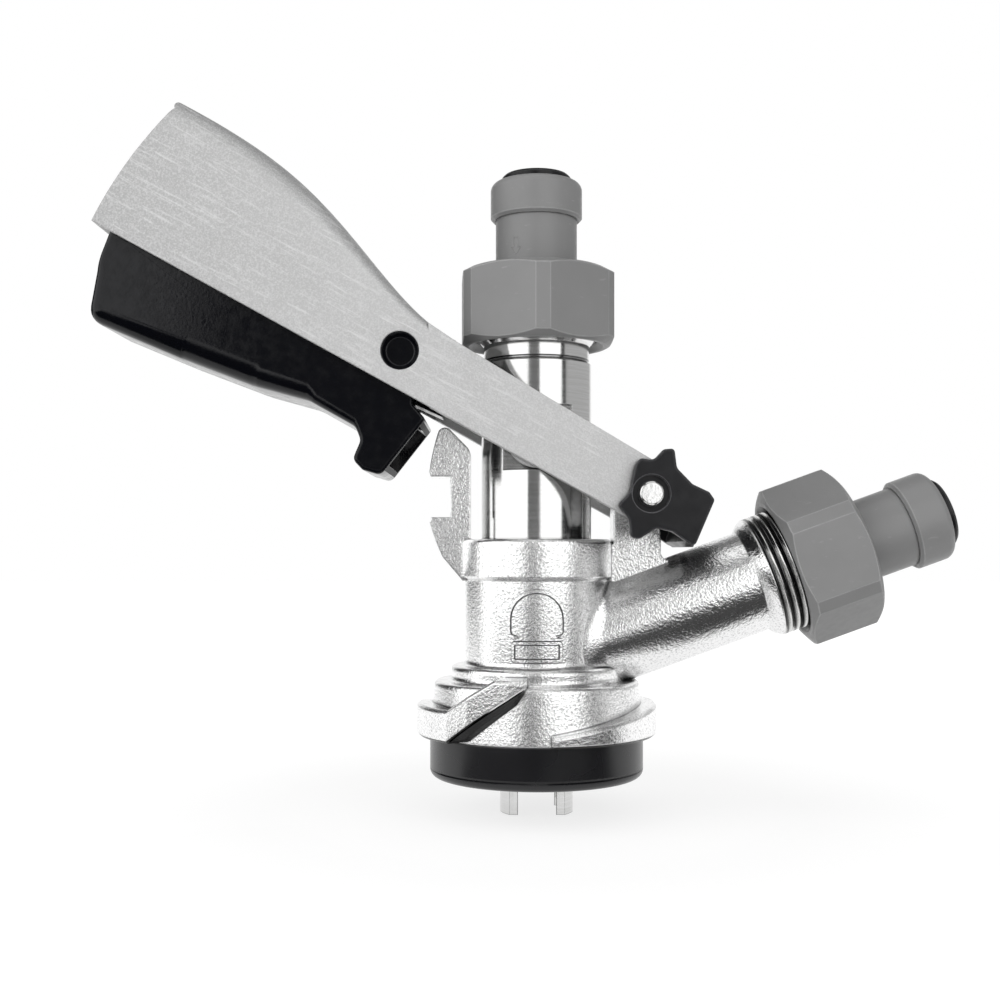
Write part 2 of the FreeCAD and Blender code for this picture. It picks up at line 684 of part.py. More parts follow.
def build_ball():
    ball = doc.addObject("Part::Sphere", "check_ball")
    ball.Label = "check_ball"
    bind(ball, "Radius", ball_radius)
    bind(ball, "Placement.Base.z", ball_height)
    return ball


def build_cage():
    """Ring with crossed bars that stops the ball's lift."""
    body = new_body("ball_cage")
    low = probe_top - cage_height
    stop = ball_height + ball_radius + ball_lift + turning_gap * 4
    inner = ball_chamber - cage_wall
    revolve(body, [
        (inner, low),
        (ball_chamber, low),
        (ball_chamber, probe_top),
        (inner, probe_top),
    ])
    bar_end = inner + cage_wall / 2
    for number, (across, deep) in enumerate(((bar_end, cage_bar / 2), (cage_bar / 2, bar_end))):
        pad(body, outline([
            (-across, -deep),
            (across, -deep),
            (across, deep),
            (-across, deep),
        ]), probe_top - stop, "Bar{}".format(number), role="XY_Plane", shift=stop, midplane=False)
    return body


def build_washer(name, height, tilt):
    body = new_body(name)
    revolve(body, [
        (ball_chamber - cage_wall, Size(0.0)),
        (flange_radius, Size(0.0)),
        (flange_radius, washer_thickness),
        (ball_chamber - cage_wall, washer_thickness),
    ])
    lift(body, height, tilt)
    return body


def build_adapter(name, height, tilt):
    """Push-in adapter: flange, stem, tube stop and seal pocket."""
    body = new_body(name)
    spigot_top = cap_bottom + cap_spigot
    revolve(body, [
        (stem_bore, washer_thickness),
        (flange_radius, washer_thickness),
        (flange_radius, flange_top),
        (stem_radius, flange_top),
        (stem_radius, cap_bottom),
        (cap_spigot_radius, cap_bottom),
        (cap_spigot_radius, spigot_top),
        (ring_pocket_radius + 0.9, spigot_top),
        (ring_pocket_radius, cap_bottom - 0.8),
        (ring_pocket_radius, ring_pocket),
        (tube_radius, ring_pocket),
        (tube_radius, tube_stop),
        (stem_bore, tube_stop),
    ])
    lift(body, height, tilt)
    return body


def build_nut(name, height, tilt, clocking):
    """Union nut: hexagon with flattened corners, coned ends, pipe thread bore and chamfered mouth."""
    body = new_body(name)
    half = across_flats / 2
    points = []
    for corner in range(6):
        middle = clocking + corner * 60.0
        width = root(half * half + nut_corner * nut_corner
                     - 2 * half * nut_corner * cosine(Size(30.0))) / sine(Size(30.0))
        width = root(width * width - nut_corner * nut_corner)
        for side in (-1, 1):
            points.append((
                nut_corner * cosine(middle) - side * width * sine(middle),
                nut_corner * sine(middle) + side * width * cosine(middle)))
    pad(body, outline(points), nut_height, "Hexagon", role="XY_Plane", shift=nut_bottom, midplane=False)
    far = nut_corner + 2.0
    slope = (far - nut_face_circle) * nut_chamfer_rise
    revolve(body, [
        (nut_face_circle, nut_top),
        (far, nut_top - slope),
        (far, nut_top),
    ], name="UpperCone", cut=True)
    revolve(body, [
        (nut_face_circle, nut_bottom),
        (far, nut_bottom),
        (far, nut_bottom + slope),
    ], name="LowerCone", cut=True)
    mouth_depth = nut_mouth - nut_bore
    revolve(body, [
        (Size(0.0), nut_bottom),
        (nut_mouth, nut_bottom),
        (nut_bore, nut_bottom + mouth_depth),
        (nut_bore, flange_top),
        (stem_radius + turning_gap * 2, flange_top),
        (stem_radius + turning_gap * 2, nut_top),
        (Size(0.0), nut_top),
    ], name="Bore", cut=True)
    lift(body, height, tilt)
    return body


def build_end_cap(name, height, tilt):
    """Cap that closes the adapter and holds the collet."""
    body = new_body(name)
    counterbore = collet_head + 0.15
    chamber = collet_claw + 0.4
    revolve(body, [
        (cap_spigot_radius, cap_bottom),
        (cap_radius - 0.6, cap_bottom),
        (cap_radius, cap_bottom + 0.6),
        (cap_radius, cap_top - cap_round),
        (cap_radius - cap_round, cap_top, cap_round, 1),
        (counterbore, cap_top),
        (counterbore, cap_counterbore_low),
        (cap_throat, cap_counterbore_low),
        (cap_throat, cap_throat_low),
        (chamber, cap_bottom + cap_spigot),
        (cap_spigot_radius, cap_bottom + cap_spigot),
    ])
    lift(body, height, tilt)
    return body


def build_collet(name, height, tilt):
    """Collet: pressed in, it lets the tube go. Its claws open below the cap's throat."""
    body = new_body(name)
    head_low = collet_top - collet_head_height
    mouth = tube_radius + 0.5
    revolve(body, [
        (tube_radius, collet_bottom),
        (collet_sleeve, collet_bottom),
        (collet_claw, collet_bottom + 0.3),
        (collet_claw, collet_bottom + collet_claw_height),
        (collet_sleeve, collet_bottom + collet_claw_height + 0.4),
        (collet_sleeve, head_low),
        (collet_head, head_low),
        (collet_head, collet_top - 0.5),
        (collet_head - 0.5, collet_top),
        (mouth, collet_top),
        (tube_radius, collet_top - 0.5),
    ])
    for number in range(2):
        wide = collet_claw + 1.0 if number == 0 else collet_slot / 2
        deep = collet_slot / 2 if number == 0 else collet_claw + 1.0
        pad(body, outline([
            (-wide, -deep),
            (wide, -deep),
            (wide, deep),
            (-wide, deep),
        ]), collet_slot_height, "Slot{}".format(number), role="XY_Plane", shift=collet_bottom,
            midplane=False, reverse=True, cut=True)
    lift(body, height, tilt)
    return body


def build_check_valve():
    """Rubber duckbill in the gas branch; its bill points towards the probe."""
    body = new_body("gas_check_valve")
    flange = Size(2.0)
    bill = valve_chamber_depth - 3.0
    sleeve = valve_chamber - 2.2
    way = sleeve - 1.5
    revolve(body, [
        (Size(0.0), -bill),
        (sleeve, -bill),
        (sleeve, -flange),
        (valve_chamber, -flange),
        (valve_chamber, Size(0.0)),
        (Size(0.0), Size(0.0)),
    ])
    lip = Size(0.9)
    for side in (-1, 1):
        pad(body, outline([
            (lip * side, -bill - 1.0),
            (lip * side, -bill),
            (sleeve * side, -flange - 2.5),
            ((sleeve + 1.0) * side, -flange - 2.5),
            ((sleeve + 1.0) * side, -bill - 1.0),
        ]), sleeve * 2 + 2.0, "Bill{}".format("Left" if side < 0 else "Right"), cut=True)
    revolve(body, [
        (Size(0.0), -bill + 4.5),
        (way * 0.35, -bill + 4.5),
        (way, -flange - 1.5),
        (way, Size(0.0)),
        (Size(0.0), Size(0.0)),
    ], name="Way", cut=True)
    lift(body, branch_length, branch_angle)
    return body


def edge_line(x):
    """Height of the lever's straight lower edge at a distance along -X."""
    return edge_height + x * tangent(arm_slope)


def build_lever():
    """Cast lever: two arms, pivot hubs, drive bosses and a handle shell that is open below."""
    body = new_body("lever")
    # Stations of the handle shell: distance from the axis, crown height, corner radius
    stations = [
        (shell_start, Size(91.9), Size(1.6)),
        (Size(26.5), Size(99.4), Size(3.2)),
        (Size(38.0), Size(113.2), Size(5.5)),
        (Size(51.5), Size(127.4), Size(6.5)),
        (Size(62.5), Size(135.2), Size(5.5)),
        (Size(74.0), Size(141.6), Size(4.5)),
        (shell_end, Size(152.0), Size(4.0)),
    ]
    for inset, kind in ((False, "Shell"), (True, "Channel")):
        sections = []
        for number, (x, crown, corner) in enumerate(stations):
            half = arm_outer - shell_wall if inset else arm_outer
            top = crown - shell_roof if inset else crown
            bend = corner
            if inset and number == 0:
                x = shell_start - 4.0
                top = crown - shell_roof - 3.4
            low = edge_line(x) - 8.0 if inset else edge_line(x)
            sketch = new_sketch(body, "YZ_Plane", "{}Section{}".format(kind, number), shift=-x)
            draw_outline(sketch, [
                (-half, low),
                (half, low),
                (half, top - bend),
                (half - bend, top, bend, 1),
                (-half + bend, top),
                (-half, top - bend, bend, 1),
            ])
            sections.append(sketch)
        loft(body, sections, kind, cut=inset)

    # The handle's end is a shallow arc, closed by a wall
    tip_low = (-(Size(91.8)), edge_line(Size(91.8)))
    tip_high = (-(Size(73.4)), Size(141.6))
    wide = arm_outer * 2 + 2.0
    pad(body, outline([
        (tip_low[0] + shell_wall, tip_low[1]),
        (tip_high[0] + shell_wall - 2.0, tip_high[1] - 2.6, Size(90.0), -1),
        (tip_high[0] - 6.0, tip_high[1] - 2.6),
        (tip_low[0] - 1.0, tip_low[1]),
    ]), (arm_outer - 1.0) * 2, "EndWall")
    pad(body, outline([
        tip_low,
        (tip_high[0] - 1.4, tip_high[1] - 2.0, Size(90.0), -1),
        (tip_high[0] + 1.2, tip_high[1] + 0.4, Size(1.9), -1),
        (tip_high[0] + 4.0, tip_high[1] + 22.0),
        (-shell_end - 10.0, tip_high[1] + 22.0),
        (-shell_end - 10.0, tip_low[1] - 20.0),
        (tip_low[0], tip_low[1] - 20.0),
    ]), wide, "EndCut", cut=True)
    pad(body, disc((Size(0.0), Size(0.0)), nut_clearance_radius), Size(80.0), "NutClearance",
        role="XY_Plane", shift=Size(70.0), midplane=False, reverse=True, cut=True)

    # Arms, hubs and bosses are made on the front side and mirrored
    back_x = shell_start + 5.6
    near = pivot_x - arm_end_radius * sine(arm_slope)
    arm_thickness = arm_outer - arm_inner
    pivot_low = (near, pivot_height - arm_end_radius * cosine(arm_slope))
    pivot_high = (pivot_x + arm_end_radius * sine(arm_slope + 2.0),
                  pivot_height + arm_end_radius * cosine(arm_slope + 2.0))
    arm = pad(body, outline([
        (-back_x, edge_line(back_x)),
        pivot_low,
        pivot_high + (arm_end_radius, 1),
        (Size(2.9), Size(79.5)),
        (-shell_start, Size(91.6)),
        (-back_x, Size(95.4)),
    ]), arm_thickness, "Arm", shift=arm_inner, midplane=False)
    hub = pad(body, disc((pivot_x, pivot_height), hub_radius - loose_gap), arm_inner - half_plate - loose_gap, "Hub",
              shift=half_plate + loose_gap, midplane=False)
    boss = pad(body, disc((Size(0.0), boss_height), boss_radius), arm_inner - boss_reach, "DriveBoss",
               shift=boss_reach, midplane=False)
    mirrored = body.newObject("PartDesign::Mirrored", "OtherSide")
    mirrored.Originals = [arm, hub, boss]
    mirrored.MirrorPlane = (origin_plane(body, "XZ_Plane"), [""])
    body.Tip = mirrored

    pad(body, disc((pivot_x, pivot_height), pin_radius), wide, "PinBore", cut=True)
    pad(body, disc((-trigger_x, trigger_height), trigger_boss), wide, "TriggerHoles", cut=True)
    return body


def build_pin():
    """Pivot pin with a neck at each end for the clip."""
    body = new_body("pivot_pin")
    half = pin_length / 2
    shoulder = arm_outer + 0.1
    revolve(body, [
        (Size(0.0), -half),
        (pin_neck - 0.3, -half),
        (pin_neck, -half + 0.3),
        (pin_neck, -shoulder),
        (pin_radius - 0.4, -shoulder),
        (pin_radius, -shoulder + 0.4),
        (pin_radius, shoulder - 0.4),
        (pin_radius - 0.4, shoulder),
        (pin_neck, shoulder),
        (pin_neck, half - 0.3),
        (pin_neck - 0.3, half),
        (Size(0.0), half),
    ])
    body.Placement = FreeCAD.Placement(FreeCAD.Vector(), FreeCAD.Rotation(FreeCAD.Vector(1, 0, 0), 90))
    bind(body, "Placement.Base.x", pivot_x)
    bind(body, "Placement.Base.z", pivot_height)
    return body


def build_clip():
    """Plastic clip: two star-shaped legs that snap on the pin's necks, joined by a bridge."""
    body = new_body("pivot_clip")
    star = [
        (2.5, 9.0), (4.7, 9.2), (5.2, 5.6), (8.4, 1.9), (11.8, 0.3), (12.9, -1.3), (8.8, -10.9),
        (4.3, -7.8), (1.1, -7.0), (-2.4, -9.3), (-4.2, -8.9), (-4.6, -5.2), (-6.8, -2.2), (-5.4, -0.9),
        (-2.6, -0.4), (-2.6, 2.5), (-3.4, 4.2), (-3.2, 6.0), (-2.2, 7.2), (0.5, 7.0),
    ]
    pad(body, outline([(pivot_x + across, pivot_height + rise) for across, rise in star]),
        clip_outer * 2, "Star")
    # Room for the arms and the ear between the legs, up to the bridge
    pad(body, outline([
        (pivot_x - 12.0, pivot_height - 14.0),
        (pivot_x + 6.0, pivot_height - 14.0),
        (pivot_x + 9.6, pivot_height - 2.0),
        (pivot_x + 9.0, pivot_height + 14.0),
        (pivot_x - 12.0, pivot_height + 14.0),
    ]), clip_inner * 2, "Between", cut=True)
    for sign, side in ((1, "Front"), (-1, "Back")):
        pad(body, disc((pivot_x, pivot_height), clip_recess), clip_recess_depth, side + "Recess",
            shift=sign * (clip_outer - clip_recess_depth), midplane=False, reverse=(sign > 0), cut=True)
        pad(body, disc((pivot_x, pivot_height), pin_neck), clip_outer - clip_inner, side + "Snap",
            shift=sign * clip_inner, midplane=False, reverse=(sign > 0), cut=True)
    return body


def build_trigger():
    """Moulded trigger: grip, guard nub, pivot bosses, latch tooth and the spring's post."""
    body = new_body("trigger")
    reach = (trigger_x, trigger_height)
    form = pad(body, outline([
        (Size(-88.6), Size(115.4)),
        (Size(-93.8), Size(101.1), Size(60.0), 1),
        (Size(-90.4), Size(96.0), Size(3.8), 1),
        (Size(-47.7), Size(80.2), Size(150.0), 1),
        (Size(-38.6), Size(74.6)),
        (Size(-37.0), Size(72.1)),
        (Size(-38.2), Size(67.8)),
        (Size(-36.6), Size(66.0)),
        (Size(-32.9), Size(64.6)),
        (Size(-24.6), Size(75.6)),
        (Size(-26.2), Size(78.4)),
        (Size(-25.4), Size(86.2)),
        (-trigger_x + 2.6, trigger_height + 3.4),
        (-trigger_x - 4.0, trigger_height + 5.6),
    ]), trigger_half * 2, "Form")
    round_edges(body, form, trigger_round, is_grip_edge, name="GripRound")
    inner = trigger_half - trigger_wall
    pad(body, outline([
        (Size(-84.0), Size(120.0)),
        (Size(-90.6), Size(103.0)),
        (Size(-88.4), Size(98.9)),
        (Size(-56.0), Size(85.6)),
        (Size(-46.5), Size(83.0)),
        (Size(-46.5), Size(120.0)),
    ]), inner * 2, "Hollow", cut=True)

    # Slot for the torsion spring, its floor carries the spring's lower leg
    slot_width = spring_length + spring_wire * 2 + loose_gap * 2
    slot_middle = trigger_half / 2
    floor = -spring_coil - spring_wire
    pad(body, outline([
        (-reach[0] + 9.0, reach[1] + floor * 1.2),
        (-reach[0] + 9.0, reach[1] + 12.0),
        (Size(-50.0), reach[1] + 20.0),
        (Size(-50.0), reach[1] + floor * cosine(spring_lean) + (50.0 - reach[0]) * tangent(spring_lean)),
        (-reach[0] + floor * sine(spring_lean), reach[1] + floor * cosine(spring_lean)),
        (-reach[0] - 1.0, reach[1] + floor * 1.2),
    ]), slot_width, "SpringSlot", shift=-(slot_middle + slot_width / 2), midplane=False, reverse=True, cut=True)
    pad(body, disc((-reach[0], reach[1]), spring_coil - spring_wire - loose_gap), slot_width, "SpringPost",
        shift=-(slot_middle - slot_width / 2), midplane=False, reverse=True)

    # Latch tooth on the middle plane, just outside the column's hooks
    tip = hook_radius + loose_gap
    low = (pivot_x - tip * cosine(tooth_low), pivot_height + tip * sine(tooth_low))
    high = (pivot_x - tip * cosine(tooth_high), pivot_height + tip * sine(tooth_high))
    pad(body, outline([
        low,
        high,
        (high[0] - 3.4, high[1] + 5.6),
        (-reach[0] + 1.0, high[1] + 5.6),
        (low[0] - 5.6, low[1] + 2.6),
    ]), tooth_half * 2, "Tooth")

    # Pivot bosses that snap into the lever's side holes, with a recess in each end
    boss_end = arm_outer - 0.4
    boss = trigger_boss - turning_gap
    pad(body, disc((-reach[0], reach[1]), boss), boss_end - trigger_half + 0.5, "FrontBoss",
        shift=trigger_half - 0.5, midplane=False)
    pad(body, disc((-reach[0], reach[1]), boss), boss_end - trigger_half + 0.5, "BackBoss",
        shift=-(trigger_half - 0.5), midplane=False, reverse=True)
    for side, sign in (("Front", 1), ("Back", -1)):
        pad(body, disc((-reach[0], reach[1]), trigger_recess), Size(1.2), side + "BossRecess",
            shift=sign * boss_end, midplane=False, reverse=(sign < 0), cut=True)
    return body


def is_grip_edge(edge):
    """True for the long lower edges of the grip, on either side."""
    box = edge.BoundBox
    on_side = abs(abs(box.YMin) - trigger_half) < 0.01 and box.YLength < 0.01
    return on_side and box.ZMax < 97.0 and box.ZMin > 80.0 and box.XLength > 20.0


def build_spring():
    """Torsion spring of the trigger, one leg on the trigger's floor, the other under the roof."""
    start = 270.0 - spring_lean
    turned = 360.0 * 3 + (spring_upper_leg - start) + 360.0
    turned = turned - 360.0 if turned > 360.0 * 4 else turned
    pitch = spring_length / (turned / 360.0)
    coil = Part.makeHelix(float(pitch), float(spring_length), float(spring_coil))
    coil.rotate(FreeCAD.Vector(), FreeCAD.Vector(0, 0, 1), float(start))
    edge = coil.Edges[0]
    lead = edge.tangentAt(edge.FirstParameter)
    tail = edge.tangentAt(edge.LastParameter)
    first = edge.valueAt(edge.FirstParameter)
    last = edge.valueAt(edge.LastParameter)
    lower_leg = Part.makeLine(first - lead * float(spring_lower_length), first)
    upper_leg = Part.makeLine(last, last + tail * float(spring_upper_length))
    path = Part.Wire([lower_leg, edge, upper_leg])
    section = Part.Wire([Part.makeCircle(float(spring_wire), first - lead * float(spring_lower_length), lead)])
    spring = doc.addObject("Part::Feature", "trigger_spring")
    spring.Label = "trigger_spring"
    spring.Shape = path.makePipeShell([section], True, True)
    upright = FreeCAD.Rotation(FreeCAD.Vector(1, 0, 0), 90)
    middle = FreeCAD.Vector(-float(trigger_x), float(trigger_half + spring_length) / 2, float(trigger_height))
    spring.Placement = FreeCAD.Placement(middle, upright)
    return spring


def check_and_write(parts):
    """Stop if anything failed, then write each sub-part's solid to its own file."""
    doc.recompute()
    for item in doc.Objects:
        if "Invalid" in item.State or "Error" in item.State:
            raise RuntimeError("{} failed: {}".format(item.Name, item.State))
    for item in parts:
        if item.Shape.isNull() or not item.Shape.isValid() or item.Shape.Volume <= 0:
            raise RuntimeError("{} has no valid solid".format(item.Label))
    os.makedirs("parts", exist_ok=True)
    for item in parts:
        item.Shape.exportStep("parts/{}.step".format(item.Label))
        print("{:20s} {:10.1f} mm3 {} solid(s)".format(item.Label, item.Shape.Volume, len(item.Shape.Solids)))


probe_rings = ((lower_ring, "probe_o_ring_lower"), (upper_ring, "probe_o_ring_upper"))
ring_middle = probe_radius - ring_groove_depth + ring_section + 0.02
beer_side = ("beer", probe_top, None, Size(273.0))
gas_side = ("gas", branch_length, branch_angle, Size(0.0))
parts = [build_seal(), build_casting(), build_probe(), build_beer_seal(), build_ball(), build_cage()]
parts += [build_ring(name, ring_section, ring_middle, height) for height, name in probe_rings]
for side, height, tilt, clocking in (beer_side, gas_side):
    tube_ring = ring_pocket_radius - tube_ring_section - 0.02
    seal_height_in_pocket = ring_pocket + tube_ring_section + 0.05
    parts += [
        build_washer(side + "_washer", height, tilt),
        build_adapter(side + "_adapter", height, tilt),
        build_nut(side + "_union_nut", height, tilt, clocking),
        build_end_cap(side + "_end_cap", height, tilt),
        build_ring(side + "_tube_o_ring", tube_ring_section, tube_ring, height + seal_height_in_pocket, tilt),
        build_collet(side + "_collet", height, tilt),
    ]
parts += [build_check_valve(), build_lever(), build_pin(), build_clip(), build_trigger(), build_spring()]
check_and_write(parts)
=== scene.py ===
# %% [markdown]
# # Dressing a keg coupler
# A keg coupler locks on a keg's neck with two slanted lugs. Its lever pushes a steel probe
# down, which opens the keg: gas goes in through the side branch and beer comes out on top.
# The CAD model brings every piece in its true size. This notebook gives the pieces their
# finishes, adds the small raised details of the casting, and lights them as in a studio.

# %% Load the CAD frame
import bpy
import bmesh
import math
from mathutils import Matrix, Vector


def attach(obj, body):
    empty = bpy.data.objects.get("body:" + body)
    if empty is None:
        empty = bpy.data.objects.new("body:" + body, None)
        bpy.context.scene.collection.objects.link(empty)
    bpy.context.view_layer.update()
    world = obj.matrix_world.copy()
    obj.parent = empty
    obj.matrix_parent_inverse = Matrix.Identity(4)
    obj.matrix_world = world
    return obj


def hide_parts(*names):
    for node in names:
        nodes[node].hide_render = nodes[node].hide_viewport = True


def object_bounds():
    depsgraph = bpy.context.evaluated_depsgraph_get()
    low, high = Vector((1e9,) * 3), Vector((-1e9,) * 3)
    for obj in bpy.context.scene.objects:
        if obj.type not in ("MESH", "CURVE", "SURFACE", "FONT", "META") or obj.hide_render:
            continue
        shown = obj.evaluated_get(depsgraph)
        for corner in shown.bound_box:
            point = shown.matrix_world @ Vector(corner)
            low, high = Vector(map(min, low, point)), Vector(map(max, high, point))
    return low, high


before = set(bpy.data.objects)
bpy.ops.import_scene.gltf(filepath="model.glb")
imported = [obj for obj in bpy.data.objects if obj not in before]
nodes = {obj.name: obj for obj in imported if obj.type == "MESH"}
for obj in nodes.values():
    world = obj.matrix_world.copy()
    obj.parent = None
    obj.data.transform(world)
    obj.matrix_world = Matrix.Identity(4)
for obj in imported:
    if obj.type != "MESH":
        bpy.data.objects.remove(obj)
cad_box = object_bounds()
MM = 0.001
FLOOR_GAP = 0.4 * MM

# %% [markdown]
# ## Camera
# The photograph was taken level and from close by, so the nut and the branch show their
# perspective. The lens is found from the picture: a millimetre on the probe's axis is 4.6
# pixels wide, and the level line of sight meets the picture a little under its middle.

# %% Camera
PICTURE = 1000
FOCAL_PIXELS = 1300.0
SIGHT_LINE_ROW = 550.0

camera_data = bpy.data.cameras.new("camera")
camera_data.sensor_width = 36.0
camera_data.lens = camera_data.sensor_width * FOCAL_PIXELS / PICTURE
camera_data.shift_y = (SIGHT_LINE_ROW - PICTURE / 2) / PICTURE
camera = bpy.data.objects.new("camera", camera_data)
camera.location = (-7.9 * MM, -282.6 * MM, 48.7 * MM)
camera.rotation_euler = (math.radians(90.0), 0.0, 0.0)
bpy.context.scene.collection.objects.link(camera)
bpy.context.scene.camera = camera
print("lens in mm:", round(camera_data.lens, 2))

# %% [markdown]
# ## Floor and background
# The coupler stands on a pale floor in front of white. Camera rays and mirror-like
# reflections see the white world, while the light that falls on the object stays plain.
# The floor mixes its own white with a glow that only those rays see, so a soft shadow stays
# near the coupler and the floor fades into the background before the horizon.

# %% World and floor
def seen_rays(tree):
    """1 for camera, mirror and glass rays, else 0: what a viewer sees of the backdrop."""
    path = tree.nodes.new("ShaderNodeLightPath")
    first = tree.nodes.new("ShaderNodeMath")
    first.operation = "MAXIMUM"
    second = tree.nodes.new("ShaderNodeMath")
    second.operation = "MAXIMUM"
    tree.links.new(path.outputs["Is Camera Ray"], first.inputs[0])
    tree.links.new(path.outputs["Is Glossy Ray"], first.inputs[1])
    tree.links.new(first.outputs[0], second.inputs[0])
    tree.links.new(path.outputs["Is Transmission Ray"], second.inputs[1])
    return second.outputs[0]


world = bpy.data.worlds.new("studio")
bpy.context.scene.world = world
world.use_nodes = True
tree = world.node_tree
tree.nodes.clear()
around = tree.nodes.new("ShaderNodeBackground")
around.inputs["Color"].default_value = (1, 1, 1, 1)
around.inputs["Strength"].default_value = 0.42
backdrop = tree.nodes.new("ShaderNodeBackground")
backdrop.inputs["Color"].default_value = (1, 1, 1, 1)
mix = tree.nodes.new("ShaderNodeMixShader")
out = tree.nodes.new("ShaderNodeOutputWorld")
tree.links.new(seen_rays(tree), mix.inputs[0])
tree.links.new(around.outputs[0], mix.inputs[1])
tree.links.new(backdrop.outputs[0], mix.inputs[2])
tree.links.new(mix.outputs[0], out.inputs[0])

floor_mesh = bpy.data.meshes.new("floor")
shape = bmesh.new()
bmesh.ops.create_grid(shape, x_segments=1, y_segments=1, size=2.0)
bmesh.ops.translate(shape, verts=shape.verts, vec=(0, 0, cad_box[0].z - FLOOR_GAP))
shape.to_mesh(floor_mesh)
shape.free()
floor = bpy.data.objects.new("floor", floor_mesh)
bpy.context.scene.collection.objects.link(floor)

floor_white = bpy.data.materials.new("floor_white")
floor_white.use_nodes = True
tree = floor_white.node_tree
floor_shader = tree.nodes["Principled BSDF"]
floor_shader.inputs["Base Color"].default_value = (0.86, 0.86, 0.86, 1)
floor_shader.inputs["Roughness"].default_value = 0.9
glow = tree.nodes.new("ShaderNodeEmission")
mix = tree.nodes.new("ShaderNodeMixShader")
share = tree.nodes.new("ShaderNodeMath")
share.operation = "MULTIPLY"
away = tree.nodes.new("ShaderNodeVectorMath")
away.operation = "LENGTH"
fade = tree.nodes.new("ShaderNodeMapRange")
for name, number in (("From Min", 0.06), ("From Max", 0.19), ("To Min", 0.70), ("To Max", 1.0)):
    fade.inputs[name].default_value = number
tree.links.new(tree.nodes.new("ShaderNodeTexCoord").outputs["Object"], away.inputs[0])
tree.links.new(away.outputs["Value"], fade.inputs["Value"])
tree.links.new(fade.outputs["Result"], share.inputs[1])
tree.links.new(seen_rays(tree), share.inputs[0])
tree.links.new(share.outputs[0], mix.inputs[0])
tree.links.new(floor_shader.outputs[0], mix.inputs[1])
tree.links.new(glow.outputs[0], mix.inputs[2])
tree.links.new(mix.outputs[0], tree.nodes["Material Output"].inputs[0])
glow.inputs["Strength"].default_value = 1.12
floor_mesh.materials.append(floor_white)
print("floor at", round((cad_box[0].z - FLOOR_GAP) / MM, 2), "mm")

# %% [markdown]
# ## Light
# Polished metal shows its surroundings. Two tall softboxes stand left and right of the
# camera, with a gap between them that draws the grey stripe down the probe. Dark cards give
# the dark stripes: a wall behind the softboxes, a ceiling, and a cloth on the floor in front
# of the coupler. A paler card on the right keeps that side of the metal light. Only mirror
# rays see the cards.

# %% Softboxes and studio wall
aim = Vector((-5 * MM, 0, 55 * MM))


def softbox(name, azimuth, elevation, distance, width, height, radiance):
    """A panel that faces the coupler. Azimuth 0 is the camera's side, positive to the right."""
    light = bpy.data.lights.new(name, "AREA")
    light.shape = "RECTANGLE"
    light.size = width
    light.size_y = height
    light.energy = radiance * math.pi * width * height
    panel = bpy.data.objects.new(name, light)
    a, e = math.radians(azimuth), math.radians(elevation)
    way = Vector((math.sin(a) * math.cos(e), -math.cos(a) * math.cos(e), math.sin(e)))
    panel.location = aim + way * distance
    panel.rotation_euler = way.to_track_quat("Z", "Y").to_euler()
    panel.visible_camera = False
    bpy.context.scene.collection.objects.link(panel)
    return panel


softbox("softbox_left", -58, 12, 0.70, 1.15, 0.95, 1.5)
softbox("softbox_right", 29, 12, 0.70, 0.60, 0.95, 1.5)
softbox("softbox_top", 0, 80, 0.80, 0.70, 0.50, 0.8)


def card(name, start, finish, low, high, brightness):
    """A dark surface of revolution for mirror rays: low and high are radius and height."""
    bm = bmesh.new()
    a = math.radians(start)
    ends = [bm.verts.new((r * math.sin(a), -r * math.cos(a), z)) for r, z in (low, high)]
    edge = bm.edges.new(ends)
    bmesh.ops.spin(bm, geom=ends + [edge], cent=(0, 0, 0), axis=(0, 0, 1),
                   angle=math.radians(finish - start), steps=24, use_merge=False)
    mesh = bpy.data.meshes.new(name)
    bm.to_mesh(mesh)
    bm.free()
    sheet = bpy.data.objects.new(name, mesh)
    material = bpy.data.materials.new(name)
    material.use_nodes = True
    tree = material.node_tree
    lit = tree.nodes.new("ShaderNodeEmission")
    lit.inputs["Color"].default_value = (brightness, brightness, brightness, 1)
    tree.links.new(lit.outputs[0], tree.nodes["Material Output"].inputs[0])
    mesh.materials.append(material)
    sheet.visible_camera = False
    sheet.visible_diffuse = False
    sheet.visible_shadow = False
    sheet.visible_transmission = False
    bpy.context.scene.collection.objects.link(sheet)
    return sheet


floor_level = cad_box[0].z - 0.3 * MM
card("studio_wall", -148, 148, (1.10, -0.3), (1.10, 0.95), 0.03)
card("studio_side", 62, 148, (1.00, -0.3), (1.00, 0.75), 0.50)
card("studio_gap", -19, 4, (1.00, -0.3), (1.00, 0.75), 0.17)
card("studio_ceiling", -180, 180, (0.001, 0.96), (1.20, 0.96), 0.16)
card("floor_shade", -75, 75, (0.050, floor_level), (0.42, floor_level), 0.05)
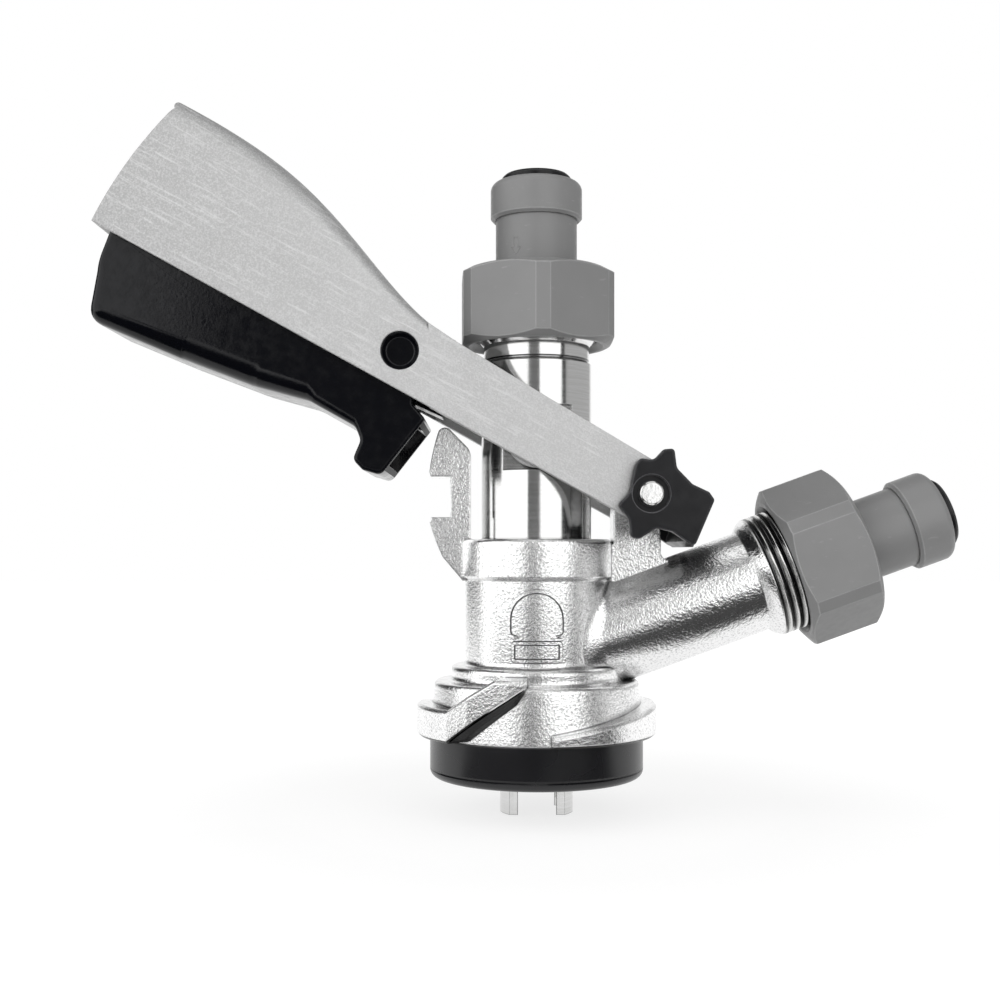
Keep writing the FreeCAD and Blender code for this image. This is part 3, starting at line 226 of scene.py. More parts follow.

# %% [markdown]
# ## Finishes
# Every finish starts from one small kit of nodes: patterns read the piece's own millimetres,
# so grain has the same size everywhere. A Bevel node rounds the light on sharp CAD edges, and
# comparing it with the true normal finds the edges, where painted highlights and reflections go,
# and on the grey plastic also rubbing.

# %% Node kit
class Finish:
    """One material and the helpers that build it."""

    def __init__(self, name, color, metallic, roughness):
        self.material = bpy.data.materials.new(name)
        self.material.use_nodes = True
        self.tree = self.material.node_tree
        self.shader = self.tree.nodes["Principled BSDF"]
        self.shader.inputs["Base Color"].default_value = (*color, 1)
        self.shader.inputs["Metallic"].default_value = metallic
        self.shader.inputs["Roughness"].default_value = roughness
        self.place = self.tree.nodes.new("ShaderNodeTexCoord").outputs["Object"]

    def link(self, out, into):
        self.tree.links.new(out, into)

    def add(self, kind, **settings):
        node = self.tree.nodes.new("ShaderNode" + kind)
        for name, value in settings.items():
            setattr(node, name, value)
        return node

    def turned(self, scale=(1, 1, 1), turn=(0, 0, 0), shift=(0, 0, 0)):
        """Object coordinates, turned and shifted first and then stretched."""
        turning = self.add("Mapping", vector_type="POINT")
        turning.inputs["Location"].default_value = shift
        turning.inputs["Rotation"].default_value = [math.radians(a) for a in turn]
        self.link(self.place, turning.inputs["Vector"])
        stretching = self.add("Mapping", vector_type="POINT")
        stretching.inputs["Scale"].default_value = scale
        self.link(turning.outputs[0], stretching.inputs["Vector"])
        return stretching.outputs[0]

    def noise(self, scale, detail=2.0, rough=0.5, vector=None):
        node = self.add("TexNoise")
        node.inputs["Scale"].default_value = scale
        node.inputs["Detail"].default_value = detail
        node.inputs["Roughness"].default_value = rough
        self.link(vector or self.place, node.inputs["Vector"])
        return node.outputs["Fac"]

    def spots(self, scale, vector=None):
        node = self.add("TexVoronoi")
        node.inputs["Scale"].default_value = scale
        self.link(vector or self.place, node.inputs["Vector"])
        return node.outputs["Distance"]

    def spread(self, value, low, high, start=0.0, finish=1.0):
        """Stretch a value from low..high to start..finish, held at both ends."""
        node = self.add("MapRange")
        for name, number in (("From Min", low), ("From Max", high), ("To Min", start), ("To Max", finish)):
            node.inputs[name].default_value = number
        self.link(value, node.inputs["Value"])
        return node.outputs["Result"]

    def math(self, operation, first, second=None):
        node = self.add("Math", operation=operation)
        for socket, value in zip(node.inputs, (first, second)):
            if isinstance(value, (int, float)):
                socket.default_value = value
            elif value is not None:
                self.link(value, socket)
        return node.outputs[0]

    def mixed(self, share, first, second):
        """Colour first where share is 0, second where it is 1."""
        node = self.add("Mix", data_type="RGBA")
        self.link(share, node.inputs["Factor"])
        for socket, value in ((node.inputs["A"], first), (node.inputs["B"], second)):
            if isinstance(value, tuple):
                socket.default_value = (*value, 1)
            else:
                self.link(value, socket)
        return node.outputs["Result"]

    def edge_normal(self, radius):
        """Normal that rounds the sharp edges of the CAD mesh."""
        node = self.add("Bevel", samples=6)
        node.inputs["Radius"].default_value = radius
        return node.outputs["Normal"]

    def edges(self, radius, low, high):
        """1 on edges, 0 on open faces: where highlights, reflections and rubbing are painted."""
        geometry = self.add("NewGeometry")
        dot = self.add("VectorMath", operation="DOT_PRODUCT")
        self.link(self.edge_normal(radius), dot.inputs[0])
        self.link(geometry.outputs["Normal"], dot.inputs[1])
        return self.spread(dot.outputs["Value"], high, low)

    def crevices(self, distance, low, high):
        """0 deep in corners, 1 in the open: the mask for painted shade."""
        node = self.add("AmbientOcclusion", samples=8)
        node.inputs["Distance"].default_value = distance
        return self.spread(node.outputs["AO"], low, high)

    def axis(self, vector, name):
        """One coordinate of a vector, in metres."""
        parts = self.add("SeparateXYZ")
        self.link(vector, parts.inputs[0])
        return parts.outputs[name]

    def upward(self):
        """1 on faces that look up, 0 on walls, -1 on faces that look down."""
        return self.axis(self.add("TexCoord").outputs["Normal"], "Z")

    def bump(self, height, distance, strength, normal=None):
        node = self.add("Bump")
        node.inputs["Distance"].default_value = distance
        if isinstance(strength, float):
            node.inputs["Strength"].default_value = strength
        else:
            self.link(strength, node.inputs["Strength"])
        self.link(height, node.inputs["Height"])
        if normal is not None:
            self.link(normal, node.inputs["Normal"])
        return node.outputs["Normal"]

    def shine(self, level):
        """How strongly a plastic or rubber mirrors its surroundings, 0.5 being plain."""
        self.shader.inputs["Specular IOR Level"].default_value = level

    def color(self, out):
        self.link(out, self.shader.inputs["Base Color"])

    def rough(self, out):
        self.link(out, self.shader.inputs["Roughness"])

    def normal(self, out):
        self.link(out, self.shader.inputs["Normal"])


def dress(finish, *names):
    """Put a finish on CAD nodes."""
    for name in names:
        slots = nodes[name].material_slots
        if not slots:
            nodes[name].data.materials.append(finish.material)
        for slot in slots:
            slot.material = finish.material


print("kit ready")

# %% [markdown]
# ### Plated casting
# The body is cast, blasted and nickel plated. Its brightness is broken up by a grain of under
# half a millimetre with wrinkles of about a millimetre. Shade is painted into its colour by two
# measures of openness: a wide one darkens corners, and a narrow one draws a thin black line of
# painted shade in each crease. Faces low on the base that look down are painted near black as
# shade. The raised frames use the same finish with crisper edges. Where the branch is cut on a
# lathe the grain stops, and waves along the branch draw the turns of its pipe thread, with
# painted shade in the grooves.

# %% Plated casting
BRANCH_ANGLE, BRANCH_BASE = 20.0, 24.95 * MM
THREAD_START, THREAD_PITCH = 51.8 * MM, 1.81 * MM


def plated(name, edge_radius, crease_distance, crease_low, crease_high):
    """Blasted, plated casting with rounded edges and painted shade in corners and creases."""
    metal = Finish(name, (0.80, 0.80, 0.80), 1.0, 0.24)
    # Painted shade: corners darken the colour to grey, creases to a thin black line.
    corners = metal.crevices(2.0 * MM, 0.10, 0.70)
    creases = metal.crevices(crease_distance, crease_low, crease_high)
    grain = metal.noise(2200, 3.0, 0.65)
    wrinkles = metal.noise(1100, 2.0, 0.5)
    along_branch = metal.axis(metal.turned(turn=(0, BRANCH_ANGLE, 0)), "X")
    thread_start = THREAD_START + BRANCH_BASE * math.sin(math.radians(BRANCH_ANGLE))
    cut = metal.spread(along_branch, thread_start, thread_start + 0.4 * MM)
    blasted = metal.math("SUBTRACT", 1.0, cut)
    tone = metal.mixed(metal.spread(grain, 0.32, 0.48), (0.62, 0.62, 0.62), (0.97, 0.97, 0.97))
    turns = metal.math("SINE", metal.math("MULTIPLY", along_branch, 2 * math.pi / THREAD_PITCH))
    # Painted shade: the grooves between the thread's turns are coloured dark.
    thread_groove_shade = metal.spread(turns, -0.9, -0.2)
    tone = metal.mixed(cut, tone, metal.mixed(thread_groove_shade, (0.10, 0.10, 0.10), (0.74, 0.74, 0.73)))
    tone = metal.mixed(corners, (0.40, 0.40, 0.40), tone)
    height = metal.axis(metal.place, "Z")
    # Painted shade: faces low on the base that look down are coloured near black.
    in_base = metal.spread(height, 16 * MM, 17 * MM, 1.0, 0.0)
    under = metal.math("MULTIPLY", in_base, metal.spread(metal.upward(), -0.30, -0.62))
    tone = metal.mixed(under, tone, (0.035, 0.035, 0.035))
    metal.color(metal.mixed(creases, (0.05, 0.05, 0.05), tone))
    metal.rough(metal.spread(grain, 0.3, 0.7, 0.28, 0.15))
    rugged = metal.math("MAXIMUM", metal.spread(along_branch, 30 * MM, 37 * MM, 0.17, 0.42),
                        metal.spread(height, 44 * MM, 56 * MM, 0.17, 0.42))
    waves = metal.bump(wrinkles, 0.22 * MM, metal.math("MULTIPLY", blasted, rugged),
                       metal.edge_normal(edge_radius))
    grained = metal.bump(grain, 0.11 * MM, metal.math("MULTIPLY", blasted, 0.50), waves)
    metal.normal(metal.bump(turns, 0.5 * MM, metal.math("MULTIPLY", cut, 0.9), grained))
    return metal


casting = plated("plated_casting", 0.6 * MM, 0.55 * MM, 0.42, 0.80)
dress(casting, "coupler_body")
crisp_casting = plated("plated_frame", 0.05 * MM, 0.50 * MM, 0.62, 0.97)
print("casting done")

# %% [markdown]
# ### Turned steel
# The probe and the pin are turned and polished. Fine rings run round them, so their pattern is
# a noise squeezed hard along the axis. Faint upright smears come from sliding in the barrel.

# %% Turned steel
def turned_steel(name, axis_scale, relief=0.006 * MM):
    """Polished steel with turning rings across the axis that has the large scale."""
    steel = Finish(name, (0.74, 0.74, 0.74), 1.0, 0.14)
    rings = steel.noise(1.0, 3.0, 0.65, steel.turned(axis_scale))
    smears = steel.noise(1.0, 2.0, 0.5, steel.turned((500, 500, 40)))
    # Painted shade: the colour darkens in corners.
    unshaded_share = steel.crevices(1.0 * MM, 0.30, 0.80)
    tone = steel.mixed(steel.spread(rings, 0.35, 0.65), (0.68, 0.68, 0.67), (0.76, 0.76, 0.76))
    # Painted reflection: edges are coloured dark.
    tone = steel.mixed(steel.edges(0.22 * MM, 0.90, 0.995), tone, (0.12, 0.12, 0.12))
    steel.color(steel.mixed(unshaded_share, (0.07, 0.07, 0.07), tone))
    steel.rough(steel.math("ADD", steel.spread(rings, 0.3, 0.7, 0.05, 0.12),
                           steel.spread(smears, 0.35, 0.7, 0.03, 0.10)))
    steel.normal(steel.bump(rings, relief, 0.2, steel.edge_normal(0.2 * MM)))
    return steel


dress(turned_steel("probe_steel", (60, 60, 3500)), "probe")
dress(turned_steel("pin_steel", (1100, 300, 1100), 0.16 * MM), "pivot_pin")
dress(turned_steel("spring_steel", (300, 300, 300)), "trigger_spring")
print("steel done")

# %% [markdown]
# ### Silver paint
# The lever is a light alloy casting in silver paint. Under the paint there is a fine even
# grain, and the handle shows faint hairlines along its length where it was ground. The colour
# gets darker towards the handle's end, and shade is painted onto faces that look up and into
# corners.

# %% Silver paint
HANDLE_SLOPE = 28.85

paint = Finish("silver_paint", (0.46, 0.46, 0.46), 0.35, 0.48)
grain = paint.noise(3200, 2.0, 0.55)
hairlines = paint.noise(1.0, 3.0, 0.6, paint.turned((120, 600, 1900), (0, -HANDLE_SLOPE, 0)))
clouds = paint.noise(60, 2.0, 0.5)
# The colour gets darker towards the handle's end.
toward_pivot = paint.spread(paint.axis(paint.place, "X"), -95 * MM, -35 * MM)
tone = paint.mixed(toward_pivot, (0.40, 0.40, 0.40), (0.55, 0.55, 0.55))
# Painted shade: faces that look up are coloured darker.
tone = paint.mixed(paint.spread(paint.upward(), 0.15, 0.6, 0.0, 0.65), tone, (0.30, 0.30, 0.30))
tone = paint.mixed(paint.spread(clouds, 0.3, 0.7, 0.0, 0.25), tone, (0.40, 0.40, 0.40))
tone = paint.mixed(paint.spread(grain, 0.42, 0.68, 0.0, 0.60), tone, (0.70, 0.70, 0.70))
tone = paint.mixed(paint.spread(hairlines, 0.55, 0.70, 0.0, 0.55), tone, (0.74, 0.74, 0.74))
# Painted shade: corners darken the colour.
paint.color(paint.mixed(paint.crevices(1.2 * MM, 0.25, 0.75), (0.12, 0.12, 0.12), tone))
paint.rough(paint.spread(grain, 0.3, 0.7, 0.36, 0.54))
paint.shine(0.4)
ground = paint.bump(hairlines, 0.06 * MM, 0.30, paint.edge_normal(0.4 * MM))
paint.normal(paint.bump(grain, 0.13 * MM, 0.50, ground))
dress(paint, "lever")
print("paint done")

# %% [markdown]
# ### Mouldings and rubber
# The union nuts and push-in fittings are one satin grey plastic whose edges are painted paler,
# partly as rubbing and partly as a painted highlight, and whose corners get painted shade.
# Trigger, clip and collets are black plastics with their own gloss and edges painted paler as
# a highlight, and the seals are rubber: duller, with dust in their grain.

# %% Grey plastic
grey = Finish("grey_plastic", (0.19, 0.19, 0.19), 0.0, 0.40)
# Edges painted paler: part rubbing, part painted highlight.
rubbed_and_highlit = grey.math("MULTIPLY", grey.edges(0.45 * MM, 0.93, 0.998),
                   grey.spread(grey.noise(260, 3.0), 0.3, 0.7, 0.45, 1.0))
scuffs = grey.spread(grey.noise(1.0, 4.0, 0.7, grey.turned((260, 260, 1100))), 0.64, 0.76, 0.0, 0.30)
tone = grey.mixed(grey.noise(120, 2.0), (0.202, 0.202, 0.202), (0.232, 0.232, 0.232))
tone = grey.mixed(grey.math("MAXIMUM", rubbed_and_highlit, scuffs), tone, (0.46, 0.46, 0.46))
# Painted shade: corners darken the colour.
grey.color(grey.mixed(grey.crevices(1.2 * MM, 0.25, 0.70), (0.045, 0.045, 0.045), tone))
grey.rough(grey.spread(grey.noise(700, 2.0), 0.3, 0.7, 0.32, 0.44))
grey.shine(0.35)
grey.normal(grey.bump(grey.noise(1500, 2.0), 0.02 * MM, 0.2, grey.edge_normal(0.5 * MM)))
dress(grey, "beer_adapter", "beer_union_nut", "beer_end_cap", "gas_adapter", "gas_union_nut", "gas_end_cap")
print("grey plastic done")


# %% Black plastics and rubber
SEAL_GROOVE = 2.0 * MM


def moulding(name, color, roughness, shine, highlight_and_dust_tone, grain_scale, grain_depth):
    """Dark moulding or rubber: even colour, edges painted paler as a highlight, dust specks and a fine
    surface grain.
    """
    dark = Finish(name, color, 0.0, roughness)
    dark.shine(shine)
    # Edges are painted paler as a highlight; dust specks share that colour.
    edge = dark.math("MULTIPLY", dark.edges(0.35 * MM, 0.92, 0.998), 0.8)
    dust = dark.spread(dark.spots(420), 0.0, 0.03, 0.10, 0.0)
    dark.color(dark.mixed(dark.math("MAXIMUM", edge, dust), color, highlight_and_dust_tone))
    dark.rough(dark.spread(dark.noise(500, 3.0), 0.3, 0.7, roughness - 0.06, roughness + 0.08))
    dark.normal(dark.bump(dark.noise(grain_scale, 3.0), grain_depth, 0.3, dark.edge_normal(0.45 * MM)))
    return dark


trigger_black = moulding("trigger_plastic", (0.0016, 0.0018, 0.0032), 0.15, 0.28, (0.035, 0.035, 0.04),
                         1400, 0.06 * MM)
dress(trigger_black, "trigger")
clip_black = moulding("clip_plastic", (0.0055, 0.0055, 0.007), 0.34, 0.30, (0.20, 0.20, 0.21),
                      1800, 0.04 * MM)
dress(clip_black, "pivot_clip")
dress(moulding("black_plastic", (0.007, 0.007, 0.008), 0.34, 0.30, (0.08, 0.08, 0.08), 1500, 0.03 * MM),
      "beer_collet", "gas_collet")
disc_rubber = moulding("disc_rubber", (0.0055, 0.0055, 0.007), 0.26, 0.55, (0.09, 0.09, 0.09),
                       900, 0.03 * MM)
disc_rubber.rough(disc_rubber.spread(disc_rubber.noise(90, 2.0), 0.3, 0.7, 0.24, 0.30))
groove = disc_rubber.spread(disc_rubber.math("ABSOLUTE", disc_rubber.math(
    "SUBTRACT", disc_rubber.axis(disc_rubber.place, "Z"), SEAL_GROOVE)), 0.0, 0.35 * MM)
disc_rubber.normal(disc_rubber.bump(groove, 0.5 * MM, 0.9, disc_rubber.edge_normal(0.45 * MM)))
dress(disc_rubber, "keg_seal")
rubber = moulding("seal_rubber", (0.007, 0.007, 0.008), 0.34, 0.35, (0.10, 0.10, 0.10), 900, 0.03 * MM)
dress(rubber, "beer_seal", "gas_check_valve", "beer_washer", "gas_washer",
      "probe_o_ring_lower", "probe_o_ring_upper", "beer_tube_o_ring", "gas_tube_o_ring")
white = Finish("white_plastic", (0.78, 0.78, 0.75), 0.0, 0.35)
white.normal(white.bump(white.noise(1200, 2.0), 0.02 * MM, 0.2))
dress(white, "check_ball", "ball_cage")
print("mouldings done")

# %% [markdown]
# ## Raised frames on the barrel
# Three helpers come first: one turns a mesh into a piece that rides on a body, one extrudes
# faces, and one makes the rim of a frame.
#
# The casting carries two bare raised frames on the front of the barrel, a dome and a bar under
# it. Each starts as a flat face. Three insets draw the foot, the crown and the inner foot of
# its rim, the crown is lifted, and the strip is then bent round the barrel. Its sloping sides
# get a dark second finish as painted shade, which gives each frame the double line of the real
# casting.

# %% Raised frames
BARREL_RADIUS = 15.5 * MM
FRAME_MIDDLE, FRAME_SLOPE, FRAME_HEIGHT = -0.3 * MM, 0.24 * MM, 0.30 * MM
DOME_LOW, DOME_MIDDLE, DOME_RADIUS = 30.4 * MM, 34.3 * MM, 6.2 * MM
DOME_CORNER, DOME_CROWN = 1.5 * MM, 0.62 * MM
BAR_LOW, BAR_HIGH, BAR_HALF = 25.3 * MM, 30.0 * MM, 5.5 * MM
BAR_CORNER, BAR_CROWN = 1.0 * MM, 0.54 * MM


def linked(bm, name, finish, body):
    """Turn a finished bmesh into a piece that rides on a body."""
    bmesh.ops.remove_doubles(bm, verts=bm.verts, dist=0.001 * MM)
    bmesh.ops.recalc_face_normals(bm, faces=bm.faces)
    mesh = bpy.data.meshes.new(name)
    bm.to_mesh(mesh)
    bm.free()
    mesh.materials.append(finish.material)
    piece = bpy.data.objects.new(name, mesh)
    bpy.context.scene.collection.objects.link(piece)
    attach(piece, body)
    return piece


def extruded(bm, faces, way):
    """Extrude faces and move the new end; returns what the extrusion made."""
    made = bmesh.ops.extrude_face_region(bm, geom=faces)["geom"]
    bmesh.ops.translate(bm, verts=[g for g in made if isinstance(g, bmesh.types.BMVert)], vec=way)
    return made


def raised_frame(bm, slope, crown, height):
    """Make a flat outline face in the XZ plane into a raised rim with sloping sides, open inside."""
    for thickness, rise in ((slope, -height), (crown, 0.0), (slope, height)):
        middle = max(bm.faces, key=lambda f: len(f.verts))
        made = bmesh.ops.inset_region(bm, faces=[middle], thickness=thickness, use_boundary=True,
                                      use_even_offset=True)["faces"]
        for face in made:
            # Sloping sides take the second slot, a dark finish painted as shade; the crown keeps the casting.
            face.material_index = 0 if rise == 0.0 else 1
        middle = max(bm.faces, key=lambda f: len(f.verts))
        bmesh.ops.translate(bm, verts=middle.verts[:], vec=(0, rise, 0))
    bmesh.ops.delete(bm, geom=[max(bm.faces, key=lambda f: len(f.verts))], context="FACES")


def bend_round(bm, radius):
    """Bend a flat strip in the XZ plane round the Z axis; Y is its height over the radius."""
    for v in bm.verts:
        angle, out = v.co.x / radius, radius - v.co.y
        v.co.x, v.co.y = out * math.sin(angle), -out * math.cos(angle)


frame_slope_shade = Finish("frame_slope_shade", (0.10, 0.10, 0.10), 0.8, 0.4)
bm = bmesh.new()
arch = [(DOME_RADIUS * math.cos(a), DOME_MIDDLE + DOME_RADIUS * math.sin(a))
        for a in (math.pi * i / 40 for i in range(41))]
for angle in range(180, 361, 15):
    side = -1 if angle <= 270 else 1
    arch.append((side * (DOME_RADIUS - DOME_CORNER) + DOME_CORNER * math.cos(math.radians(angle)),
                 DOME_LOW + DOME_CORNER + DOME_CORNER * math.sin(math.radians(angle))))
bm.faces.new([bm.verts.new((FRAME_MIDDLE + x, 0, z)) for x, z in arch])
raised_frame(bm, FRAME_SLOPE, DOME_CROWN, FRAME_HEIGHT)
bend_round(bm, BARREL_RADIUS)
dome_frame = linked(bm, "dome_frame", crisp_casting, "coupler")
dome_frame.data.materials.append(frame_slope_shade.material)

bm = bmesh.new()
bmesh.ops.create_grid(bm, x_segments=1, y_segments=1, size=1.0)
bmesh.ops.scale(bm, verts=bm.verts, vec=(BAR_HALF, (BAR_HIGH - BAR_LOW) / 2, 1))
bmesh.ops.rotate(bm, verts=bm.verts, cent=(0, 0, 0), matrix=Matrix.Rotation(math.pi / 2, 3, "X"))
bmesh.ops.translate(bm, verts=bm.verts, vec=(FRAME_MIDDLE, 0, (BAR_HIGH + BAR_LOW) / 2))
bmesh.ops.bevel(bm, geom=bm.verts[:], affect="VERTICES", offset=BAR_CORNER, segments=4, profile=0.5,
                material=-1)
raised_frame(bm, FRAME_SLOPE, BAR_CROWN, FRAME_HEIGHT)
bmesh.ops.subdivide_edges(bm, edges=[e for e in bm.edges if e.calc_length() > 2 * MM], cuts=12)
bend_round(bm, BARREL_RADIUS)
bar_frame = linked(bm, "bar_frame", crisp_casting, "coupler")
bar_frame.data.materials.append(frame_slope_shade.material)
print("frames:", len(dome_frame.data.polygons) + len(bar_frame.data.polygons), "faces")

# %% [markdown]
# ## Blend at the branch
# The casting flows from the barrel into the branch. The CAD model has a plain crease there, so
# a blend is laid over it: at each angle round the branch, one point lies on the barrel, one on
# the branch, and the crease between them pulls a curve into the corner. The rows of points are
# edge loops that are bridged one after another.

# %% Blend
BRANCH_RADIUS, BLEND_REACH, BLEND_STEPS, BLEND_POINTS = 11.1 * MM, 3.0 * MM, 7, 96
tilt = math.radians(BRANCH_ANGLE)


def on_both(radius, angle, onward=0.0):
    """Where a cylinder on the branch's axis meets the barrel, moved on along the branch."""
    side, up = -radius * math.sin(angle), radius * math.cos(angle)
    outward = math.sqrt(BARREL_RADIUS ** 2 - side ** 2)
    reach = (outward + up * math.sin(tilt)) / math.cos(tilt) + onward
    return Vector((reach * math.cos(tilt) - up * math.sin(tilt), side,
                   BRANCH_BASE + reach * math.sin(tilt) + up * math.cos(tilt)))


bm = bmesh.new()
loops = []
for step in range(BLEND_STEPS + 1):
    t = step / BLEND_STEPS
    ring = []
    for number in range(BLEND_POINTS):
        angle = 2 * math.pi * number / BLEND_POINTS
        crease = on_both(BRANCH_RADIUS, angle)
        low = on_both(BRANCH_RADIUS + BLEND_REACH, angle)
        high = on_both(BRANCH_RADIUS, angle, BLEND_REACH)
        ring.append(bm.verts.new(low * (1 - t) ** 2 + crease * 2 * t * (1 - t) + high * t ** 2))
    loops.append([bm.edges.new((ring[i - 1], ring[i])) for i in range(BLEND_POINTS)])
for lower, upper in zip(loops, loops[1:]):
    bmesh.ops.bridge_loops(bm, edges=lower + upper)
for face in bm.faces:
    face.smooth = True
branch_blend = linked(bm, "branch_blend", casting, "coupler")
print("blend:", len(branch_blend.data.polygons), "faces")

# %% [markdown]
# ## Moulded trigger
# The trigger's rounding changes along its outline: wide under the fingers, tight at its end.
# A ring of points is made for each step of the rounding, and each point moves inward by its
# own radius. The rings are bridged, the nub gets its slot, and the pivot bosses and the latch
# tooth are added. The skin stands in for the CAD trigger, which stays hidden for collisions.

# %% Moulding helpers
ARC_POINTS, EDGE_SMOOTHING = 7, 12


def rounded_corners(points):
    """Outline of (x, z, corner radius, edge rounding), its corners cut to arcs, its rounding evened out."""
    result = []
    for index, (x, z, radius, edge) in enumerate(points):
        here = Vector((x, z))
        before = Vector(points[index - 1][:2]) - here
        after = Vector(points[(index + 1) % len(points)][:2]) - here
        bend = before.angle(after) / 2
        reach = min(radius / math.tan(bend), before.length * 0.48, after.length * 0.48)
        first, last = here + before.normalized() * reach, here + after.normalized() * reach
        for step in range(ARC_POINTS):
            t = step / (ARC_POINTS - 1)
            result.append((first * (1 - t) ** 2 + here * 2 * t * (1 - t) + last * t ** 2, edge))
    for smoothing in range(EDGE_SMOOTHING):
        result = [(point, (result[i - 1][1] + 2 * edge + result[(i + 1) % len(result)][1]) / 4)
                  for i, (point, edge) in enumerate(result)]
    return result


def side_rings(bm, outline, half, sign, steps=5):
    """Rings of points that round an outline over to its flat side; the last ring lies on the side."""
    count = len(outline)
    inward = []
    for index in range(count):
        way = outline[(index + 1) % count][0] - outline[index - 1][0]
        inward.append(Vector((-way.y, way.x)).normalized())
    rings = []
    for step in range(steps + 1):
        a = math.pi / 2 * step / steps
        ring = []
        for (point, edge), way in zip(outline, inward):
            moved = point + way * edge * (1 - math.cos(a))
            side = sign * (half - edge + edge * math.sin(a))
            ring.append(bm.verts.new((moved.x * MM, side * MM, moved.y * MM)))
        rings.append(ring)
    return rings


def bridge_rings(bm, first, second):
    """Quads between two closed rings with as many points."""
    count = len(first)
    return [bm.faces.new((first[i], first[(i + 1) % count], second[(i + 1) % count], second[i]))
            for i in range(count)]


print("moulding helpers ready")

# %% Trigger
nub_shade = Finish("nub_shade", (0.010, 0.010, 0.012), 0.0, 0.5)
nub_shade.shine(0.1)

# x, z, corner radius and edge rounding in mm, from the grip's top end down and round the nub
GRIP = [(-88.6, 115.4, 0.5, 0.8), (-91.3, 108.6, 20, 1.2), (-93.6, 96.7, 3.5, 2.6),
        (-74.4, 88.7, 25, 4.6), (-59.7, 83.1, 25, 4.6), (-47.7, 79.8, 8, 2.6), (-37.9, 74.3, 2.2, 0.8),
        (-36.8, 71.5, 2.0, 0.7), (-38.5, 67.5, 1.8, 0.7), (-36.4, 65.3, 1.2, 0.7), (-32.6, 64.2, 1.8, 0.7),
        (-23.4, 75.9, 0.8, 0.5), (-26.0, 78.9, 0.6, 0.5), (-25.5, 86.2, 2.0, 0.5), (-26.0, 93.0, 1.5, 0.5),
        (-32.5, 95.2, 1.5, 0.5)]
GRIP_HALF, PIVOT_X, PIVOT_Z = 13.6, -28.5, 89.7
NUB_CORNERS = (10, 12)
NUB_RIM, NUB_SLOT, NUB_DRAFT = 1.3 * MM, 3.5 * MM, 0.1 * MM
BOSS_RADIUS, BOSS_START, BOSS_LENGTH = 3.95 * MM, 13.2 * MM, 2.2 * MM
BOSS_RIM, BOSS_RECESS = 1.0 * MM, 1.2 * MM
# x and z of the latch tooth's corners in mm
TOOTH = [(-20.36, 77.24), (-18.16, 82.03), (-21.56, 87.63), (-27.5, 87.63), (-25.96, 79.84)]
TOOTH_HALF = 3.6

bm = bmesh.new()
outline = rounded_corners(GRIP)
front, back = side_rings(bm, outline, GRIP_HALF, -1), side_rings(bm, outline, GRIP_HALF, 1)
for rings in (front, back):
    for first, second in zip(rings, rings[1:]):
        bridge_rings(bm, first, second)
    bm.faces.new(rings[-1])
around = bridge_rings(bm, front[0], back[0])
nub_side = around[NUB_CORNERS[0] * ARC_POINTS:NUB_CORNERS[1] * ARC_POINTS]
nub_face = max(nub_side, key=lambda f: f.calc_area())
bmesh.ops.recalc_face_normals(bm, faces=bm.faces)
rim = bmesh.ops.inset_region(bm, faces=[nub_face], thickness=NUB_RIM, use_boundary=True,
                             use_even_offset=True)["faces"]
bmesh.ops.inset_region(bm, faces=[nub_face], thickness=NUB_DRAFT, depth=-NUB_SLOT, use_boundary=True)
for face in bm.faces:
    face.smooth = len(face.verts) == 4 and face is not nub_face
for face in rim:
    face.smooth = False
    face.material_index = 1
for sign in (-1, 1):
    seat = Matrix.Translation((PIVOT_X * MM, sign * BOSS_START, PIVOT_Z * MM))
    made = bmesh.ops.create_circle(bm, cap_ends=True, segments=48, radius=BOSS_RADIUS,
                                   matrix=seat @ Matrix.Rotation(math.pi / 2, 4, "X"))["verts"]
    raised = extruded(bm, list({f for v in made for f in v.link_faces}), (0, sign * BOSS_LENGTH, 0))
    end = [g for g in raised if isinstance(g, bmesh.types.BMFace)]
    bmesh.ops.inset_region(bm, faces=end, thickness=BOSS_RIM, use_even_offset=True)
    bmesh.ops.translate(bm, verts=list({v for f in end for v in f.verts}), vec=(0, -sign * BOSS_RECESS, 0))
face = bm.faces.new([bm.verts.new((x * MM, -TOOTH_HALF * MM, z * MM)) for x, z in TOOTH])
extruded(bm, [face], (0, 2 * TOOTH_HALF * MM, 0))
trigger_skin = linked(bm, "trigger_skin", trigger_black, "trigger_assembly")
trigger_skin.data.materials.append(nub_shade.material)
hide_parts("trigger")
print("trigger:", len(trigger_skin.data.polygons), "faces")

# %% [markdown]
# ## Pivot clip
# The clip's star has soft points and hollows. Each leg is the star's outline rounded over at
# its outer side, with a recess for the pin's head and a hole for its neck, and a bar joins the
# legs. This skin too stands in for the CAD clip.

# %% Pivot clip
# x and z from the pin's middle and corner radius in mm, clockwise from the top point
STAR = [(2.5, 9.0, 0.9), (4.7, 9.2, 0.9), (5.2, 5.2, 2.0), (8.4, 1.9, 1.5), (11.8, 0.3, 0.8),
        (12.9, -1.3, 0.8), (8.8, -10.9, 1.0), (4.3, -7.8, 1.5), (1.1, -7.0, 2.0), (-2.4, -9.3, 1.0),
        (-4.2, -8.9, 1.0), (-4.6, -5.2, 2.0), (-6.8, -2.2, 0.8), (-5.4, -0.9, 0.8), (-4.2, 0.6, 1.5),
        (-4.0, 2.6, 1.5), (-3.6, 4.4, 0.8), (-3.2, 6.0, 0.8), (-2.2, 7.2, 0.9), (0.5, 6.8, 2.0)]
